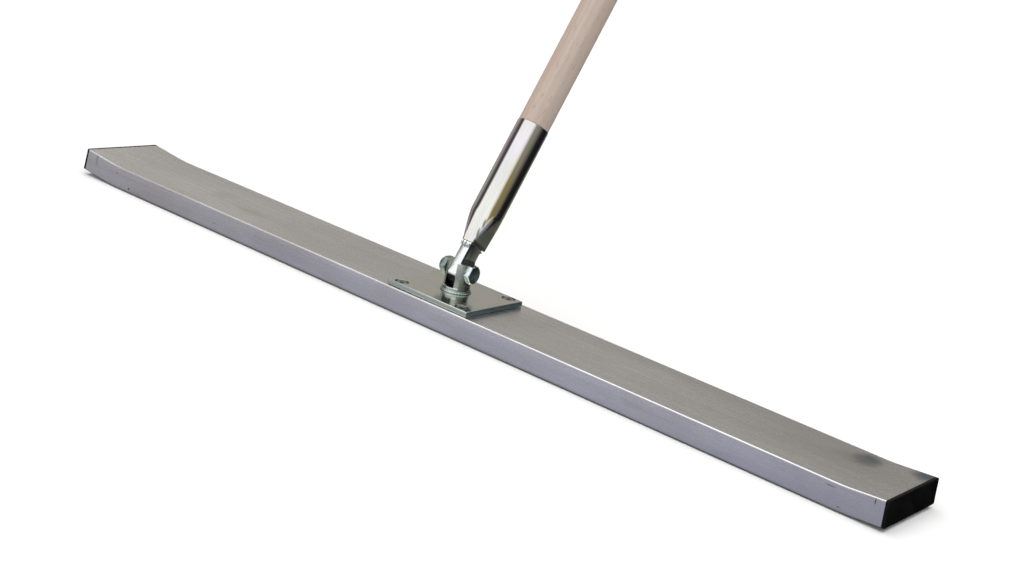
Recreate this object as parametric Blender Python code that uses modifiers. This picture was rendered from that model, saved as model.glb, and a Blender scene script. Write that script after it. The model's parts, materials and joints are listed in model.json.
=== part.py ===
"""Bull float: a hollow blade that levels wet concrete, on a long handle that tilts on one bolt.

The frame's origin is at the middle of the blade's sole. +X runs along the blade, +Y is the side
that the handle leans to, and +Z is up. Sizes are in metres and angles in degrees.
"""

from math import cos, pi, radians, sin

import bmesh
import bpy

# ---------------------------------------------------------------- driving dimensions

GAP = 0.0003  # left between two pieces that touch

# blade: an aluminium box section, pressed up a little at both ends
BLADE_LENGTH = 1.0  # at the sole, over both end caps
BLADE_SHIFT = (0.0008, 0.0019)  # the bracket stands this far off the blade's middle
BLADE_WIDTH = 0.1
BLADE_HEIGHT = 0.024
BLADE_WALL = 0.002
BLADE_CORNER = 0.0012
BEND_RADIUS = 0.25  # of the section's middle line where it turns up
TIPS = {  # side of the blade: (angle that its end is turned up, straight length past the bend)
    "left": (5.8, 0.038),
    "right": (4.3, 0.033),
}

# end caps: a thin flange with a hollow plug behind it
CAP_FLANGE = 0.0028
CAP_PLUG_LENGTH = 0.015
CAP_PLUG_WALL = 0.0016

# bracket plate, its screws and the threaded inserts under them
PLATE_SIZE = (0.1, 0.09, 0.005)
PLATE_EDGE = 0.0005
SCREW_SPACING = (0.076, 0.075)
SCREW_HEAD_RADIUS = 0.0058
SCREW_HEAD_DEPTH = 0.0031
SCREW_HEAD_SUNK = 0.0007  # the heads sit this much below the plate's top
SCREW_RADIUS = 0.0027
SCREW_LENGTH = 0.016  # below the head
SCREW_TIP = 0.001  # chamfer at its end
SCREW_SOCKET_FLATS = 0.004
SCREW_SOCKET_DEPTH = 0.0018
INSERT_RADIUS = 0.0045
INSERT_BULGE_RADIUS = 0.006
INSERT_BULGE_HEIGHT = 0.003
INSERT_BULGE_EDGE = (0.0003, 0.0018)  # below the wall: where the bulge is widest
INSERT_LENGTH = 0.0145
INSERT_LIP = 0.0007
INSERT_LIP_GAP = 0.00045

# fork: a round bar with a slot, welded upright on the plate
FORK_RADIUS = 0.0135
FORK_HEIGHT = 0.030
FORK_SLOT = 0.0104
FORK_FLOOR = 0.005  # metal left under the slot
FORK_FLAT = 0.012  # distance from the fork's middle to the flats under the bolt head and nut
FORK_EDGE = 0.0008
PIVOT_HEIGHT = 0.021  # bolt axis above the plate
WELD_WIDTH = 0.0025
WELD_HEIGHT = 0.0027
WELD_FULLNESS = 0.75  # of the hollow's depth: 1 is a full round hollow, 0 is none

# pivot bolt and lock nut, M10
BOLT_RADIUS = 0.0049
BOLT_HOLE_RADIUS = 0.0053
HEX_FLATS = 0.017
BOLT_HEAD_HEIGHT = 0.0066
NUT_HEIGHT = 0.0066
NUT_COLLAR_HEIGHT = 0.0022
NUT_COLLAR_RADIUS = 0.0069
HEX_CHAMFER = 0.001
HEX_FACE_RADIUS = 0.00825  # of the flat left inside the chamfer
HEX_SEAT_RADIUS = 0.0084
COLLAR_EDGE = (0.0009, 0.0008)  # chamfer on the nut's collar: across, along

# tongue: the flat bar that swings in the fork's slot
TONGUE_WIDTH = 0.0216
TONGUE_THICKNESS = 0.0098
TONGUE_DROP = 0.0035  # its round end's middle lies this far below the bolt
TONGUE_EDGE = 0.0008
TANG_WIDTH = 0.016  # inside the socket the bar is narrower
TANG_START = 0.031
TONGUE_TOP = 0.054  # distances along the handle are measured from the pivot

# beads between the tongue's two edges and the socket's rim
BEAD_SIZE = {"front": (0.011, 0.0034, 0.0062), "back": (0.0094, 0.0042, 0.0044)}

# handle socket: a tube whose lower end is pressed flat round the tongue
SOCKET_BOTTOM = 0.028
SOCKET_TOP = 0.1596
SOCKET_RADIUS = 0.0166
SOCKET_WALL = 0.0011
SOCKET_OFFSET = 0.003  # the tube's axis lies this far in front of the tongue
PRESSED_SIZE = (0.0146, 0.0280)
PRESSED_BACK = 0.0012  # the pressed end's middle lies this far behind the tongue's
PRESSED_CORNER = 0.0028
PRESSED_TOP = 0.031  # the pressed shape is full up to here
ROUND_FROM = 0.056  # and the tube is round from here on

# handle: a turned wooden pole, held in the socket by one screw
HANDLE_LENGTH = 1.5
HANDLE_RADIUS = 0.0162
HANDLE_SPIGOT_RADIUS = 0.0152  # of the lower end, turned down to fit the socket
HANDLE_BOTTOM = 0.068
HANDLE_TOP_ROUNDING = 0.008
HANDLE_CHAMFER = 0.001  # at its lower end
HANDLE_LEAN = 28.0  # from upright, towards +Y
HANDLE_SCREW_AT = 0.112
HANDLE_SCREW_RADIUS = 0.0019
HANDLE_SCREW_HEAD_RADIUS = 0.004
HANDLE_SCREW_HEAD_HEIGHT = 0.0022
HANDLE_SCREW_LENGTH = 0.016
HANDLE_SCREW_POINT = 0.003
HANDLE_SCREW_DOME = ((0.0024, 0.00198), (0.004, 0.00066))  # points of its round head

# heights that follow from these
PLATE_BOTTOM = BLADE_HEIGHT + GAP
PLATE_TOP = PLATE_BOTTOM + PLATE_SIZE[2]
FORK_BOTTOM = PLATE_TOP + GAP
PIVOT = (0.0, 0.0, PLATE_TOP + PIVOT_HEIGHT)

ROUND_STEPS = 32
SMALL_STEPS = 20
SOFT_ANGLE = 40.0  # only edges sharper than this are softened
MERGE = 0.00001
PAST = 0.001  # how far a cutting tool reaches past the face that it cuts


# ---------------------------------------------------------------- scene and helpers


def empty_scene():
    """Remove whatever the file holds, and make one collection for parts and one for cutters."""
    for obj in list(bpy.data.objects):
        bpy.data.objects.remove(obj, do_unlink=True)
    collections = []
    for name in ("bull_float", "cutters"):
        collection = bpy.data.collections.new(name)
        bpy.context.scene.collection.children.link(collection)
        collections.append(collection)
    return collections


PARTS, CUTTERS = empty_scene()


def finish_material(name, colour, roughness, metallic):
    """A Principled BSDF material with one colour."""
    material = bpy.data.materials.new(name)
    material.use_nodes = True
    shader = material.node_tree.nodes["Principled BSDF"]
    shader.inputs["Base Color"].default_value = (*colour, 1.0)
    shader.inputs["Roughness"].default_value = roughness
    shader.inputs["Metallic"].default_value = metallic
    material.diffuse_color = (*colour, 1.0)
    return material


ALUMINIUM = finish_material("mill_aluminium", (0.36, 0.35, 0.35), 0.38, 0.9)
ZINC = finish_material("zinc_plated_steel", (0.42, 0.44, 0.42), 0.3, 1.0)
WELD = finish_material("plated_weld", (0.34, 0.36, 0.34), 0.45, 1.0)
PLASTIC = finish_material("black_plastic", (0.012, 0.012, 0.013), 0.5, 0.0)
BEECH = finish_material("beech", (0.66, 0.48, 0.38), 0.55, 0.0)
NUT_STEEL = finish_material("lock_nut_steel", (0.40, 0.43, 0.42), 0.33, 1.0)


def smooth(mesh):
    """Shade round faces smooth and keep their edges crisp."""
    mesh.shade_smooth()
    mesh.set_sharp_from_angle(angle=radians(35))


def add_part(name, data, material, parent=None, location=(0, 0, 0), rotation=(0, 0, 0)):
    """Put one sub-part in the parts collection, under its parent."""
    obj = bpy.data.objects.new(name, data)
    obj.data.materials.append(material)
    PARTS.objects.link(obj)
    obj.location = location
    obj.rotation_euler = rotation
    obj.parent = parent
    return obj


def add_cutter(name, data, parent=None, location=(0, 0, 0), rotation=(0, 0, 0)):
    """Put a shape that only cuts or joins another in the cutters collection."""
    obj = bpy.data.objects.new(name, data)
    CUTTERS.objects.link(obj)
    obj.location = location
    obj.rotation_euler = rotation
    obj.parent = parent
    obj.hide_render = True
    obj.display_type = "WIRE"
    return obj


def combine(obj, other, operation):
    """Boolean with the exact solver."""
    boolean = obj.modifiers.new(operation.lower(), "BOOLEAN")
    boolean.operation = operation
    boolean.object = other
    boolean.solver = "EXACT"


def soften(obj, width, segments=2):
    """Round the sharp edges."""
    bevel = obj.modifiers.new("soft_edges", "BEVEL")
    bevel.width = width
    bevel.segments = segments
    bevel.limit_method = "ANGLE"
    bevel.angle_limit = radians(SOFT_ANGLE)


def box_mesh(name, size):
    """A box about its own middle."""
    mesh = bpy.data.meshes.new(name)
    shape = bmesh.new()
    bmesh.ops.create_cube(shape, size=1.0)
    bmesh.ops.scale(shape, vec=size, verts=shape.verts)
    shape.to_mesh(mesh)
    shape.free()
    return mesh


def prism_mesh(name, radius, height, sides=ROUND_STEPS):
    """A cylinder or a prism along Z that stands on z = 0."""
    mesh = bpy.data.meshes.new(name)
    shape = bmesh.new()
    bmesh.ops.create_cone(
        shape, cap_ends=True, segments=sides, radius1=radius, radius2=radius, depth=height
    )
    bmesh.ops.translate(shape, vec=(0, 0, height / 2), verts=shape.verts)
    shape.to_mesh(mesh)
    shape.free()
    smooth(mesh)
    return mesh


def turned_mesh(name, profile, steps=ROUND_STEPS, closed=False):
    """A profile of (radius, height) points, from the top down, turned about Z."""
    outline = bpy.data.meshes.new(name + "_profile")
    edges = [(i, i + 1) for i in range(len(profile) - 1)]
    if closed:
        edges.append((len(profile) - 1, 0))
    outline.from_pydata([(r, 0, z) for r, z in profile], edges, [])
    lathe = bpy.data.objects.new(name + "_lathe", outline)
    CUTTERS.objects.link(lathe)
    screw = lathe.modifiers.new("turn", "SCREW")
    screw.steps = steps
    screw.render_steps = steps
    screw.use_merge_vertices = True
    screw.merge_threshold = MERGE
    depsgraph = bpy.context.evaluated_depsgraph_get()
    mesh = bpy.data.meshes.new_from_object(lathe.evaluated_get(depsgraph))
    mesh.name = name
    bpy.data.objects.remove(lathe, do_unlink=True)
    smooth(mesh)
    return mesh


def arc(centre, radius, start, end, steps):
    """Points on an arc in a plane, its angles in degrees."""
    points = []
    for i in range(steps + 1):
        angle = radians(start + (end - start) * i / steps)
        points.append((centre[0] + radius * cos(angle), centre[1] + radius * sin(angle)))
    return points


def rounded_rectangle(width, height, corner, steps=4):
    """The outline of a rectangle with round corners, anticlockwise from its right side."""
    points = []
    for number, (side, level) in enumerate(((1, 1), (-1, 1), (-1, -1), (1, -1))):
        centre = (side * (width / 2 - corner), level * (height / 2 - corner))
        points += arc(centre, corner, 90 * number, 90 * number + 90, steps)
    return points


def poly_curve(name, outlines):
    """A 2D curve with one closed, straight-sided spline for each outline."""
    curve = bpy.data.curves.new(name, "CURVE")
    curve.dimensions = "2D"
    for outline in outlines:
        spline = curve.splines.new("POLY")
        spline.points.add(len(outline) - 1)
        spline.use_cyclic_u = True
        for point, (x, y) in zip(spline.points, outline):
            point.co = (x, y, 0, 1)
    return curve


# ---------------------------------------------------------------- blade and end caps


def tip_frame(side, back=0.0):
    """Middle of the blade's end face, `back` in from the cap's outer face, as (x, z)."""
    angle, straight = TIPS[side]
    turn = radians(angle)
    half = BLADE_HEIGHT / 2
    start = BLADE_LENGTH / 2 - (BEND_RADIUS + half) * sin(turn) - straight * cos(turn)
    reach = straight - back
    x = start + BEND_RADIUS * sin(turn) + reach * cos(turn)
    z = half + BEND_RADIUS * (1 - cos(turn)) + reach * sin(turn)
    return x, z, start


def blade_line():
    """The section's middle line from the left cap to the right one, as (x, z) points."""
    line = []
    for side, direction in (("left", -1), ("right", 1)):
        x, z, start = tip_frame(side, CAP_FLANGE + GAP)
        centre = (start, BLADE_HEIGHT / 2 + BEND_RADIUS)
        bend = arc(centre, BEND_RADIUS, -90, -90 + TIPS[side][0], 5)
        half = [(direction * px, pz) for px, pz in bend + [(x, z)]]
        line += half if direction > 0 else half[::-1]
    return line


def make_blade():
    """A rounded box section swept along the blade's line, with a wall made by Solidify."""
    outline = rounded_rectangle(BLADE_WIDTH, BLADE_HEIGHT, BLADE_CORNER, 2)
    section = bpy.data.objects.new("blade_section", poly_curve("blade_section", [outline]))
    section.hide_render = True
    section.display_type = "WIRE"
    CUTTERS.objects.link(section)
    path = bpy.data.curves.new("blade_path", "CURVE")
    path.dimensions = "3D"
    path.twist_mode = "Z_UP"
    path.bevel_mode = "OBJECT"
    path.bevel_object = section
    spline = path.splines.new("POLY")
    line = blade_line()
    spline.points.add(len(line) - 1)
    for point, (x, z) in zip(spline.points, line):
        point.co = (x, 0, z, 1)
    sweep = bpy.data.objects.new("blade_sweep", path)
    CUTTERS.objects.link(sweep)
    depsgraph = bpy.context.evaluated_depsgraph_get()
    mesh = bpy.data.meshes.new_from_object(sweep.evaluated_get(depsgraph))
    bpy.data.objects.remove(sweep, do_unlink=True)
    mesh.materials.clear()
    mesh.flip_normals()  # the sweep faces inwards
    smooth(mesh)
    blade = add_part("float_profile", mesh, ALUMINIUM, location=(*BLADE_SHIFT, 0))
    wall = blade.modifiers.new("wall", "SOLIDIFY")
    wall.thickness = BLADE_WALL
    wall.offset = -1
    wall.use_even_offset = True
    return blade


def make_end_cap(side):
    """A flange that covers the section's end, with a hollow plug that grips inside it."""
    angle = radians(TIPS[side][0])
    x, z, _ = tip_frame(side)
    direction = 1 if side == "right" else -1
    place = (BLADE_SHIFT[0] + direction * x, BLADE_SHIFT[1], z)
    turn = (0, -angle, 0 if side == "right" else pi)
    outline = rounded_rectangle(BLADE_HEIGHT, BLADE_WIDTH, BLADE_CORNER, 3)
    flange_curve = poly_curve("cap_flange_" + side, [outline])
    flange_curve.fill_mode = "BOTH"
    flange_curve.extrude = CAP_FLANGE / 2
    flat = bpy.data.objects.new("cap_flange_" + side, flange_curve)
    CUTTERS.objects.link(flat)
    depsgraph = bpy.context.evaluated_depsgraph_get()
    mesh = bpy.data.meshes.new_from_object(flat.evaluated_get(depsgraph))
    bpy.data.objects.remove(flat, do_unlink=True)
    shape = bmesh.new()
    shape.from_mesh(mesh)
    bmesh.ops.remove_doubles(shape, verts=shape.verts, dist=MERGE)
    for vert in shape.verts:  # the curve's plane becomes the cap's YZ plane
        height, across, depth = vert.co
        vert.co = (depth - CAP_FLANGE / 2, across, -height)
    bmesh.ops.recalc_face_normals(shape, faces=shape.faces)
    shape.to_mesh(mesh)
    shape.free()
    mesh.materials.clear()
    smooth(mesh)
    cap = add_part("end_cap_" + side, mesh, PLASTIC, location=place, rotation=turn)

    plug_width = BLADE_WIDTH - 2 * BLADE_WALL - 2 * GAP
    plug_height = BLADE_HEIGHT - 2 * BLADE_WALL - 2 * GAP
    overlap = CAP_FLANGE / 2
    plug = add_cutter(
        "cap_plug_" + side,
        box_mesh("cap_plug", (CAP_PLUG_LENGTH + overlap, plug_width, plug_height)),
        parent=cap,
        location=(-CAP_FLANGE - CAP_PLUG_LENGTH / 2 + overlap / 2, 0, 0),
    )
    hollow_size = (
        CAP_PLUG_LENGTH * 2,
        plug_width - 2 * CAP_PLUG_WALL,
        plug_height - 2 * CAP_PLUG_WALL,
    )
    hollow = add_cutter(
        "cap_hollow_" + side,
        box_mesh("cap_hollow", hollow_size),
        parent=cap,
        location=(-CAP_FLANGE - CAP_PLUG_LENGTH, 0, 0),
    )
    combine(cap, plug, "UNION")
    combine(cap, hollow, "DIFFERENCE")
    return cap


# ---------------------------------------------------------------- bracket plate and fixings


def screw_places():
    """The four corners of the screw pattern."""
    half_x = SCREW_SPACING[0] / 2
    half_y = SCREW_SPACING[1] / 2
    return [(-half_x, -half_y), (half_x, -half_y), (half_x, half_y), (-half_x, half_y)]


def make_plate():
    """A flat steel plate with four countersunk holes."""
    middle = (0, 0, PLATE_BOTTOM + PLATE_SIZE[2] / 2)
    plate = add_part("bracket_plate", box_mesh("bracket_plate", PLATE_SIZE), ZINC, location=middle)
    soften(plate, PLATE_EDGE)
    sink = SCREW_HEAD_DEPTH + SCREW_HEAD_SUNK
    head = SCREW_HEAD_RADIUS + GAP
    shank = SCREW_RADIUS + GAP
    slope = (SCREW_HEAD_RADIUS - SCREW_RADIUS) / SCREW_HEAD_DEPTH
    wide = head + SCREW_HEAD_SUNK * slope
    profile = [
        (0, PAST),
        (wide, PAST),
        (wide, 0),
        (shank, -sink),
        (shank, -PLATE_SIZE[2] - PAST),
        (0, -PLATE_SIZE[2] - PAST),
    ]
    hole = turned_mesh("countersink", profile, SMALL_STEPS)
    for number, (x, y) in enumerate(screw_places(), start=1):
        cutter = add_cutter(f"countersink_{number}", hole, location=(x, y, PLATE_TOP))
        combine(plate, cutter, "DIFFERENCE")
    return plate


def make_plate_screws():
    """Countersunk socket screws, their heads just below the plate's top."""
    profile = [
        (0, 0),
        (SCREW_HEAD_RADIUS, 0),
        (SCREW_RADIUS, -SCREW_HEAD_DEPTH),
        (SCREW_RADIUS, -SCREW_LENGTH),
        (SCREW_RADIUS - SCREW_TIP, -SCREW_LENGTH - SCREW_TIP),
        (0, -SCREW_LENGTH - SCREW_TIP),
    ]
    body = turned_mesh("plate_screw", profile, SMALL_STEPS)
    key = prism_mesh("socket_key", SCREW_SOCKET_FLATS / 2 / cos(pi / 6), SCREW_SOCKET_DEPTH + PAST, 6)
    for number, (x, y) in enumerate(screw_places(), start=1):
        place = (x, y, PLATE_TOP - SCREW_HEAD_SUNK)
        screw = add_part(f"plate_screw_{number}", body.copy(), ZINC, location=place)
        recess = add_cutter(
            f"socket_key_{number}", key, location=(x, y, place[2] - SCREW_SOCKET_DEPTH)
        )
        combine(screw, recess, "DIFFERENCE")


def make_rivet_nuts(blade):
    """Threaded inserts set in the blade's top wall, and the holes that they sit in."""
    bore = SCREW_RADIUS + GAP
    under = -BLADE_WALL - GAP
    profile = [
        (bore, 0),
        (INSERT_RADIUS + INSERT_LIP, 0),
        (INSERT_RADIUS, -INSERT_LIP),
        (INSERT_RADIUS, under),
        (INSERT_BULGE_RADIUS, under - INSERT_BULGE_EDGE[0]),
        (INSERT_BULGE_RADIUS, under - INSERT_BULGE_EDGE[1]),
        (INSERT_RADIUS, under - INSERT_BULGE_HEIGHT),
        (INSERT_RADIUS, -INSERT_LENGTH),
        (bore, -INSERT_LENGTH),
    ]
    insert = turned_mesh("rivet_nut", profile, SMALL_STEPS, closed=True)
    lip = INSERT_RADIUS + INSERT_LIP + INSERT_LIP_GAP
    drill_profile = [
        (0, PAST),
        (lip, PAST),
        (lip, 0),
        (INSERT_RADIUS + GAP, -INSERT_LIP - GAP),
        (INSERT_RADIUS + GAP, -BLADE_WALL - PAST),
        (0, -BLADE_WALL - PAST),
    ]
    drill = turned_mesh("insert_drill", drill_profile, SMALL_STEPS)
    for number, (x, y) in enumerate(screw_places(), start=1):
        place = (x, y, BLADE_HEIGHT)
        add_part(f"rivet_nut_{number}", insert.copy(), ZINC, location=place)
        cutter = add_cutter(f"insert_drill_{number}", drill, location=place)
        combine(blade, cutter, "DIFFERENCE")


# ---------------------------------------------------------------- fork, bolt and nut


def make_fork():
    """A round bar, slotted from the top, cross drilled, with flats for the bolt and nut."""
    bar = prism_mesh("fork", FORK_RADIUS, FORK_HEIGHT - GAP)
    fork = add_part("fork", bar, ZINC, location=(0, 0, FORK_BOTTOM))
    slot_depth = FORK_HEIGHT - FORK_FLOOR
    slot = add_cutter(
        "fork_slot",
        box_mesh("fork_slot", (FORK_SLOT, FORK_RADIUS * 3, slot_depth)),
        location=(0, 0, PLATE_TOP + FORK_FLOOR + slot_depth / 2 + 0.00001),
    )
    combine(fork, slot, "DIFFERENCE")
    flat_size = (FORK_RADIUS, FORK_RADIUS * 3, FORK_HEIGHT * 2)
    flat_middle = PLATE_TOP + PIVOT_HEIGHT / 2 + FORK_HEIGHT
    for side in (-1, 1):
        flat = add_cutter(
            "fork_flat_left" if side < 0 else "fork_flat_right",
            box_mesh("fork_flat", flat_size),
            location=(side * (FORK_FLAT + FORK_RADIUS / 2), 0, flat_middle),
        )
        combine(fork, flat, "DIFFERENCE")
    drill = add_cutter(
        "fork_drill",
        prism_mesh("fork_drill", BOLT_HOLE_RADIUS, FORK_RADIUS * 4, SMALL_STEPS),
        location=(-FORK_RADIUS * 2, 0, PIVOT[2]),
        rotation=(0, pi / 2, 0),
    )
    combine(fork, drill, "DIFFERENCE")
    soften(fork, FORK_EDGE, 1)
    return fork


def make_fork_weld():
    """The weld bead round the fork's foot."""
    inner = FORK_RADIUS + GAP
    curve = arc((inner + WELD_WIDTH, WELD_HEIGHT), 1.0, 180, 270, 5)
    bead = [
        (
            inner + WELD_WIDTH + (r - inner - WELD_WIDTH) * WELD_WIDTH * WELD_FULLNESS,
            WELD_HEIGHT + (z - WELD_HEIGHT) * WELD_HEIGHT * WELD_FULLNESS,
        )
        for r, z in curve
    ]
    profile = [(inner, WELD_HEIGHT), *bead, (inner + WELD_WIDTH, 0), (inner, 0)]
    mesh = turned_mesh("fork_weld", profile, ROUND_STEPS, closed=True)
    return add_part("fork_weld", mesh, WELD, location=(0, 0, FORK_BOTTOM))


def chamfered_hex(obj_name, height, both_ends):
    """The turned disc that a hexagon is cut with, to chamfer its corners."""
    corner = HEX_FLATS / 2 / cos(pi / 6)
    low = HEX_SEAT_RADIUS if both_ends else corner
    profile = [
        (0, height),
        (HEX_FACE_RADIUS, height),
        (corner, height - HEX_CHAMFER),
        (corner, HEX_CHAMFER),
        (low, 0),
        (0, 0),
    ]
    return turned_mesh(obj_name, profile)


def make_bolt():
    """A hexagon bolt along X: its head on the right, its shank through fork and tongue."""
    radius = HEX_FLATS / 2 / cos(pi / 6)
    seat = FORK_FLAT + GAP
    bolt = add_part(
        "pivot_bolt",
        prism_mesh("pivot_bolt", radius, BOLT_HEAD_HEIGHT, 6),
        ZINC,
        location=(seat, 0, PIVOT[2]),
        rotation=(0, pi / 2, 0),
    )
    rounding = add_cutter(
        "head_rounding", chamfered_hex("head_rounding", BOLT_HEAD_HEIGHT, False), parent=bolt
    )
    combine(bolt, rounding, "INTERSECT")
    length = 2 * seat + NUT_HEIGHT + NUT_COLLAR_HEIGHT
    shank = add_cutter(
        "bolt_shank",
        prism_mesh("bolt_shank", BOLT_RADIUS, length + PAST, SMALL_STEPS),
        parent=bolt,
        location=(0, 0, -length),
    )
    combine(bolt, shank, "UNION")
    return bolt


def make_lock_nut():
    """A lock nut: a hexagon with the collar that holds its nylon ring."""
    radius = HEX_FLATS / 2 / cos(pi / 6)
    nut = add_part(
        "lock_nut",
        prism_mesh("lock_nut", radius, NUT_HEIGHT, 6),
        NUT_STEEL,
        location=(-FORK_FLAT - GAP, 0, PIVOT[2]),
        rotation=(0, -pi / 2, 0),
    )
    rounding = add_cutter(
        "nut_rounding", chamfered_hex("nut_rounding", NUT_HEIGHT, True), parent=nut
    )
    combine(nut, rounding, "INTERSECT")
    top = NUT_HEIGHT + NUT_COLLAR_HEIGHT
    profile = [
        (0, top),
        (NUT_COLLAR_RADIUS - COLLAR_EDGE[0], top),
        (NUT_COLLAR_RADIUS, top - COLLAR_EDGE[1]),
        (NUT_COLLAR_RADIUS, NUT_HEIGHT - PAST),
        (0, NUT_HEIGHT - PAST),
    ]
    collar = add_cutter("nut_collar", turned_mesh("nut_collar", profile), parent=nut)
    combine(nut, collar, "UNION")
    thread = add_cutter(
        "nut_thread",
        prism_mesh("nut_thread", BOLT_RADIUS + GAP, top * 3, SMALL_STEPS),
        parent=nut,
        location=(0, 0, -top),
    )
    combine(nut, thread, "DIFFERENCE")
    return nut


# ---------------------------------------------------------------- handle side
# These pieces are laid out as if the handle stood upright: Z along it, from the pivot.


def make_pivot_frame():
    """The empty on the bolt's axis that leans the handle and everything on it."""
    pivot = bpy.data.objects.new("tilt_pivot", None)
    PARTS.objects.link(pivot)
    pivot.location = PIVOT
    pivot.rotation_euler = (-radians(HANDLE_LEAN), 0, 0)
    return pivot


def make_tongue(pivot):
    """A flat bar with a round lower end and a hole for the bolt."""
    half = TONGUE_WIDTH / 2
    tang = TANG_WIDTH / 2
    outline = arc((0, -TONGUE_DROP), half, 180, 360, 16) + [
        (half, TANG_START),
        (tang, TANG_START),
        (tang, TONGUE_TOP),
        (-tang, TONGUE_TOP),
        (-tang, TANG_START),
        (-half, TANG_START),
    ]
    hole = arc((0, 0), BOLT_HOLE_RADIUS, 0, 360 - 360 / SMALL_STEPS, SMALL_STEPS - 1)
    curve = poly_curve("tongue", [outline, hole])
    curve.fill_mode = "BOTH"
    curve.extrude = TONGUE_THICKNESS / 2
    tongue = add_part("tongue", curve, ZINC, parent=pivot, rotation=(pi / 2, 0, pi / 2))
    weld = tongue.modifiers.new("closed", "WELD")
    weld.merge_threshold = MERGE
    soften(tongue, TONGUE_EDGE, 1)
    return tongue


def socket_ring(height):
    """The socket's outline at one height: pressed flat below, round above, as (x, y) points."""
    pressed = rounded_rectangle(*PRESSED_SIZE, PRESSED_CORNER, 7)
    count = len(pressed)
    spread = min(max((height - PRESSED_TOP) / (ROUND_FROM - PRESSED_TOP), 0), 1)
    ring = []
    for index, (x, y) in enumerate(pressed):
        quarter, step = divmod(index, count // 4)
        corner = radians(90 * quarter + 90 * (step + 0.5) / (count // 4))
        round_x = SOCKET_RADIUS * cos(corner)
        round_y = SOCKET_RADIUS * sin(corner) - SOCKET_OFFSET
        y += PRESSED_BACK
        ring.append((x + (round_x - x) * spread, y + (round_y - y) * spread, height))
    return ring


def make_socket(pivot):
    """A loft of rings from the pressed end to the round one, with a wall made by Solidify."""
    steps = 10
    heights = [SOCKET_BOTTOM]
    heights += [PRESSED_TOP + (ROUND_FROM - PRESSED_TOP) * i / steps for i in range(steps + 1)]
    heights.append(SOCKET_TOP)
    shape = bmesh.new()
    rings = [[shape.verts.new(point) for point in socket_ring(height)] for height in heights]
    for lower, upper in zip(rings, rings[1:]):
        for i in range(len(lower)):
            j = (i + 1) % len(lower)
            shape.faces.new((lower[i], lower[j], upper[j], upper[i]))
    mesh = bpy.data.meshes.new("handle_socket")
    shape.to_mesh(mesh)
    shape.free()
    smooth(mesh)
    socket = add_part("handle_socket", mesh, ZINC, parent=pivot)
    wall = socket.modifiers.new("wall", "SOLIDIFY")
    wall.thickness = SOCKET_WALL
    wall.offset = -1
    wall.use_even_offset = True
    return socket


def make_socket_welds(pivot):
    """The beads that join the tongue's two edges to the socket's rim."""
    for face, side in (("front", -1), ("back", 1)):
        size = BEAD_SIZE[face]
        reach = TONGUE_WIDTH / 2 + GAP + size[1] / 2
        place = (0, side * reach, SOCKET_BOTTOM - GAP - size[2] / 2)
        name = "socket_weld_" + face
        bead = add_part(name, box_mesh(name, size), WELD, parent=pivot, location=place)
        soften(bead, size[1] / 3)


def make_handle(pivot, screw_tip):
    """A turned pole with a rounded top and a thinner lower end, drilled for its screw."""
    rounding = arc(
        (HANDLE_RADIUS - HANDLE_TOP_ROUNDING, HANDLE_LENGTH - HANDLE_TOP_ROUNDING),
        HANDLE_TOP_ROUNDING,
        90,
        0,
        5,
    )
    shoulder = SOCKET_TOP + GAP - HANDLE_BOTTOM
    spigot = HANDLE_SPIGOT_RADIUS
    profile = [(0, HANDLE_LENGTH), *rounding, (HANDLE_RADIUS, shoulder), (spigot, shoulder)]
    profile += [(spigot, HANDLE_CHAMFER), (spigot - HANDLE_CHAMFER, 0), (0, 0)]
    handle = add_part(
        "handle",
        turned_mesh("handle", profile),
        BEECH,
        parent=pivot,
        location=(0, -SOCKET_OFFSET, HANDLE_BOTTOM),
    )
    drill = add_cutter(
        "handle_drill",
        prism_mesh("handle_drill", HANDLE_SCREW_RADIUS + GAP, HANDLE_RADIUS * 2, SMALL_STEPS),
        parent=pivot,
        location=(0, screw_tip - GAP, HANDLE_SCREW_AT),
        rotation=(-pi / 2, 0, 0),
    )
    combine(handle, drill, "DIFFERENCE")
    return handle


def make_handle_screw(pivot, socket):
    """The screw through the socket's back into the pole. Returns how deep its point is."""
    seat = SOCKET_RADIUS - SOCKET_OFFSET + GAP
    profile = [
        (0, HANDLE_SCREW_HEAD_HEIGHT),
        *HANDLE_SCREW_DOME,
        (HANDLE_SCREW_HEAD_RADIUS, 0),
        (HANDLE_SCREW_RADIUS, 0),
        (HANDLE_SCREW_RADIUS, HANDLE_SCREW_POINT - HANDLE_SCREW_LENGTH),
        (0, -HANDLE_SCREW_LENGTH),
    ]
    add_part(
        "handle_screw",
        turned_mesh("handle_screw", profile, SMALL_STEPS),
        ZINC,
        parent=pivot,
        location=(0, seat, HANDLE_SCREW_AT),
        rotation=(-pi / 2, 0, 0),
    )
    drill = add_cutter(
        "socket_drill",
        prism_mesh("socket_drill", HANDLE_SCREW_RADIUS + GAP, SOCKET_RADIUS, SMALL_STEPS),
        parent=pivot,
        location=(0, -SOCKET_OFFSET, HANDLE_SCREW_AT),
        rotation=(-pi / 2, 0, 0),
    )
    combine(socket, drill, "DIFFERENCE")
    return seat - HANDLE_SCREW_LENGTH


# ---------------------------------------------------------------- assembly

float_blade = make_blade()
make_end_cap("left")
make_end_cap("right")
make_plate()
make_plate_screws()
make_rivet_nuts(float_blade)
make_fork()
make_fork_weld()
make_bolt()
make_lock_nut()

tilt = make_pivot_frame()
make_tongue(tilt)
handle_tube = make_socket(tilt)
make_socket_welds(tilt)
point_depth = make_handle_screw(tilt, handle_tube)
make_handle(tilt, point_depth)
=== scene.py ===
import json
from math import cos, pi, radians, sin, sqrt

import bmesh
import bpy
from mathutils import Matrix, Vector, noise


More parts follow.
